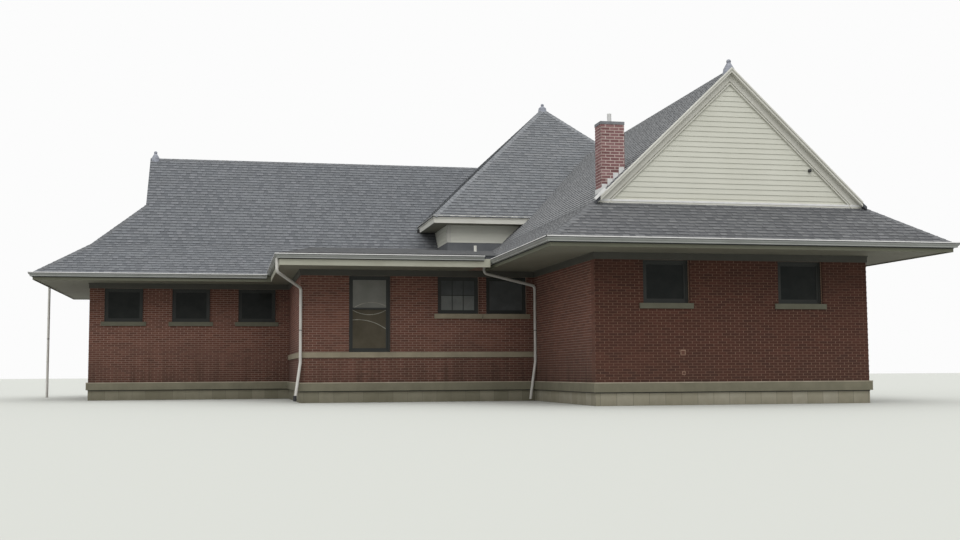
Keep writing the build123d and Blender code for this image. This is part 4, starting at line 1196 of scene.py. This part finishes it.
# Crown on the tower's fascia
crown_line = tower_crown_half + 0.004
crown = [(tower_x + x * crown_line, tower_y + y * crown_line)
         for x, y in ((-1, -1), (1, -1), (1, 1), (-1, 1), (-1, -1))]
eave_strips("tower_crown", crown, 0.012, tower_eave_top - 0.045, tower_eave_top - 0.018, white_flashing_and_highlight)
# Painted shadow line under the crown
eave_strips("tower_crown_shadow_line", crown, 0.003, tower_eave_top - 0.060, tower_eave_top - 0.045, dark_trim_and_painted_shade)
# Painted shade: a dark block where the long body's front slope meets the tower's left eave
slope_y = main_front_face + soffit_run
eave_end_shade = block("tower_eave_end_shade", (valley_left - 0.06, slope_y - 0.02, tower_soffit_level - 0.01),
                (valley_left + 0.02, slope_y + 0.10, tower_soffit_level + 0.10))
finished(eave_end_shade, dark_trim_and_painted_shade)

# Straps, joints and shoes of the rain pipes
pipe_radius = 0.040
strap_heights, joint_height, shoe_height = (1.25, 2.65), 1.97, 0.13


def pipe_middle(node, bottom, top):
    """(x, y) of the middle of a rain pipe's corners between two heights, or nothing without corners."""
    corners = [corner.co for corner in nodes[node].data.vertices if bottom < corner.co.z < top]
    if not corners:
        return None
    return [(min(corner[axis] for corner in corners) + max(corner[axis] for corner in corners)) / 2
            for axis in (0, 1)]


def pipe_foot(node):
    return pipe_middle(node, -1.0, 0.2)


straps, pipe_joints = [], []
for node in ("infill_downspout", "corner_downspout", "left_downspout"):
    middle = pipe_middle(node, 1.0, 1.2) or pipe_foot(node)
    for height in strap_heights:
        straps.append(round_block("strap", (*middle, height), pipe_radius + 0.004, 0.030))
    pipe_joints.append(round_block("joint", (*middle, joint_height), pipe_radius + 0.003, 0.018))
shoe_place = (*pipe_foot("infill_downspout"), shoe_height)
pipe_joints.append(round_block("shoe", shoe_place, pipe_radius + 0.006, 0.15))
finished(joined("pipe_straps", straps), pipe_metal)
finished(joined("pipe_joints", pipe_joints), dark_trim_and_painted_shade)

# Panes of the tall windows, and bars on the divided window
sheet = 0.002
# Panes whose foot lies under the first height are lower ones, over the second upper ones
lower_limit, upper_limit = 2.0, 2.57
bar_half, bar_proud = 0.011, 0.012
pane_pieces = {"upper": [], "lower": [], "sheltered": [], "lit": [], "bars": [], "folds": []}
divided_window = (0.0, 1.3)


def curtain_fold(middle, peak, radius, sides, foot, head, out):
    """Thin arc of a curtain's edge, bowed up for a positive radius and down for a negative one."""
    put_aside()
    bpy.ops.mesh.primitive_torus_add(major_segments=128, minor_segments=6, major_radius=abs(radius),
                                     minor_radius=0.008, location=(middle, peak - radius, out))
    fold = bpy.context.object
    fold.scale.z = 0.25
    lay_down(fold)
    for point, towards in (((sides[0], 0, 0), LEFT), ((sides[1], 0, 0), RIGHT), ((0, foot, 0), FRONT),
                           ((0, head, 0), BACK)):
        saw(fold, point, towards, close=True)
    return fold


# (share of the width, drop from the pane's top, radius) for each fold, by pane
folds = {"upper": [(0.56, 0.62, 0.86)], "lower": [(0.50, 0.14, -0.90), (0.16, 0.28, 1.30)]}
for wall in walls:
    place = wall_place(wall)
    for one, other in solids_of("window_glass"):
        a, b = place.inverted() @ one, place.inverted() @ other
        start, end, out = min(a.x, b.x), max(a.x, b.x), max(a.z, b.z)
        if not (0 < start and end < wall.length and -0.2 < out < 0):
            continue
        kind = ("lower" if one.z < lower_limit else
                "upper" if one.z > upper_limit else "sheltered")
        if kind != "sheltered" or wall.name == "infill_front":
            pane = block("pane", (start, one.z, out - sheet), (end, other.z, out + sheet))
            pane_pieces[kind].append(set_in_place(pane, place))
            if wall.name == "infill_front":
                for share, drop, radius in folds.get(kind, ()):
                    fold = curtain_fold(start + share * (end - start), other.z - drop, radius, (start, end),
                                        one.z, other.z, out + sheet)
                    pane_pieces["folds"].append(set_in_place(fold, place))
        if wall.name == "infill_front" and divided_window[0] < one.x < divided_window[1]:
            third = (end - start) / 3
            half_height = (one.z + other.z) / 2
            lit = block("pane", (start, one.z, out + sheet), (end, half_height, out + 2 * sheet))
            pane_pieces["lit"].append(set_in_place(lit, place))
            bars = [(start + index * third - bar_half, one.z, start + index * third + bar_half, other.z)
                    for index in (1, 2)]
            bars.append((start, half_height - bar_half, end, half_height + bar_half))
            bars = [block("bar", (x, z, out - sheet), (far_x, far_z, out + bar_proud))
                    for x, z, far_x, far_z in bars]
            pane_pieces["bars"].append(set_in_place(joined("bars", bars), place))
for kind, material in (("upper", upper_pane), ("lower", lower_pane), ("sheltered", sheltered_pane),
                       ("lit", lit_pane), ("bars", green_paint), ("folds", fold_cloth)):
    finished(joined("window_" + kind, pane_pieces[kind]), material)

# Weathered faces of the infill's sills
washed = []
for one, other in solids_of("window_sills"):
    if infill_left_face < one.x < wing_left_face and infill_front_face - 0.2 < one.y < infill_front_face:
        washed.append(block("wash", (one.x - sheet, one.y - sheet, one.z - sheet),
                            (other.x + sheet, one.y + 0.01, other.z + sheet)))
finished(joined("infill_sill_faces", washed), cut_stone)

# Small plates let into the wing's front, and the insulator on its gable
plate_border, edge_proud, plate_proud = 0.020, 0.007, 0.009
wall_plates = ((5.005, 1.252, 0.13), (5.015, 0.763, 0.09))
insulator_x, insulator_z, insulator_proud = (8.375, 8.44), (5.70, 5.78), 0.09


def square_plate(name, x, z, half, proud):
    return block(name, (x - half, front_face - proud, z - half), (x + half, front_face, z + half))


plates, plate_edges = [], []
for x, z, size in wall_plates:
    plate_edges.append(square_plate("edge", x, z, size / 2, edge_proud))
    plates.append(square_plate("plate", x, z, size / 2 - plate_border, plate_proud))
finished(joined("wall_plate_edges", plate_edges), shaded_wing_mortar)
finished(joined("wall_plates", plates), red_brick)
knob = block("gable_insulator", (insulator_x[0], front_face - insulator_proud, insulator_z[0]),
             (insulator_x[1], front_face, insulator_z[1]))
finished(rounded(knob, 0.02, 3), dark_trim_and_painted_shade)


# Floor, lights and camera
def seen_or_mirrored(tree):
    """1 for the rays of the camera, of mirrors and of glass, 0 for the others."""
    paths = tree.nodes.new("ShaderNodeLightPath")
    seen = paths.outputs["Is Camera Ray"]
    for kind in ("Is Glossy Ray", "Is Transmission Ray"):
        seen = calculated(tree, "MAXIMUM", seen, paths.outputs[kind])
    return seen


put_aside()
bpy.ops.mesh.primitive_plane_add(size=400, location=(0, 0, 0))
ground = bpy.context.object
ground.name = "studio_floor"
floor_paint = bpy.data.materials.new("studio floor")
floor_paint.use_nodes = True
tree = floor_paint.node_tree
base = tree.nodes["Principled BSDF"]
base.inputs["Roughness"].default_value = 0.9
floor_tone = mixed(tree, seen_or_mirrored(tree), shade(148, 149, 145), shade(190, 192, 186))
tree.links.new(floor_tone, base.inputs["Base Color"])
ground.data.materials.append(floor_paint)

world = bpy.data.worlds.new("studio")
bpy.context.scene.world = world
world.use_nodes = True
tree = world.node_tree
sky = tree.nodes["Background"]
sky.inputs["Color"].default_value = (1.0, 1.0, 1.0, 1)
level_strength, zenith_strength = 0.45, 1.45
strength = ranged(tree, upward_part(tree, "Generated"), 0.0, 1.0, level_strength, zenith_strength)
tree.links.new(strength, sky.inputs["Strength"])
plain_sky = tree.nodes.new("ShaderNodeBackground")
plain_sky.inputs["Color"].default_value = shade(252, 252, 252)
plain_sky.inputs["Strength"].default_value = 1.0
choose = tree.nodes.new("ShaderNodeMixShader")
tree.links.new(seen_or_mirrored(tree), choose.inputs["Fac"])
tree.links.new(sky.outputs["Background"], choose.inputs[1])
tree.links.new(plain_sky.outputs["Background"], choose.inputs[2])
tree.links.new(choose.outputs["Shader"], tree.nodes["World Output"].inputs["Surface"])

sun_data = bpy.data.lights.new("soft sun", "SUN")
sun_data.energy = 1.2
sun_data.angle = radians(60)
sun = bpy.data.objects.new("soft_sun", sun_data)
sun.rotation_euler = (radians(38), radians(-14), 0)
bpy.context.scene.collection.objects.link(sun)

camera_data = bpy.data.cameras.new("camera")
camera_data.sensor_width = 36
camera_data.lens = 45.606
camera_data.clip_end = 500
camera = bpy.data.objects.new("camera", camera_data)
camera_place = (-5.712, -36.989, 0.818)
camera_turn, camera_pitch, camera_roll = radians(-11.802), radians(4.787), radians(-0.322)
camera.matrix_world = (Matrix.Translation(camera_place)
                       @ Euler((pi / 2 + camera_pitch, 0, camera_turn)).to_matrix().to_4x4()
                       @ Matrix.Rotation(camera_roll, 4, "Z"))
bpy.context.scene.collection.objects.link(camera)
bpy.context.scene.camera = camera
bpy.context.scene.view_settings.view_transform = "Standard"
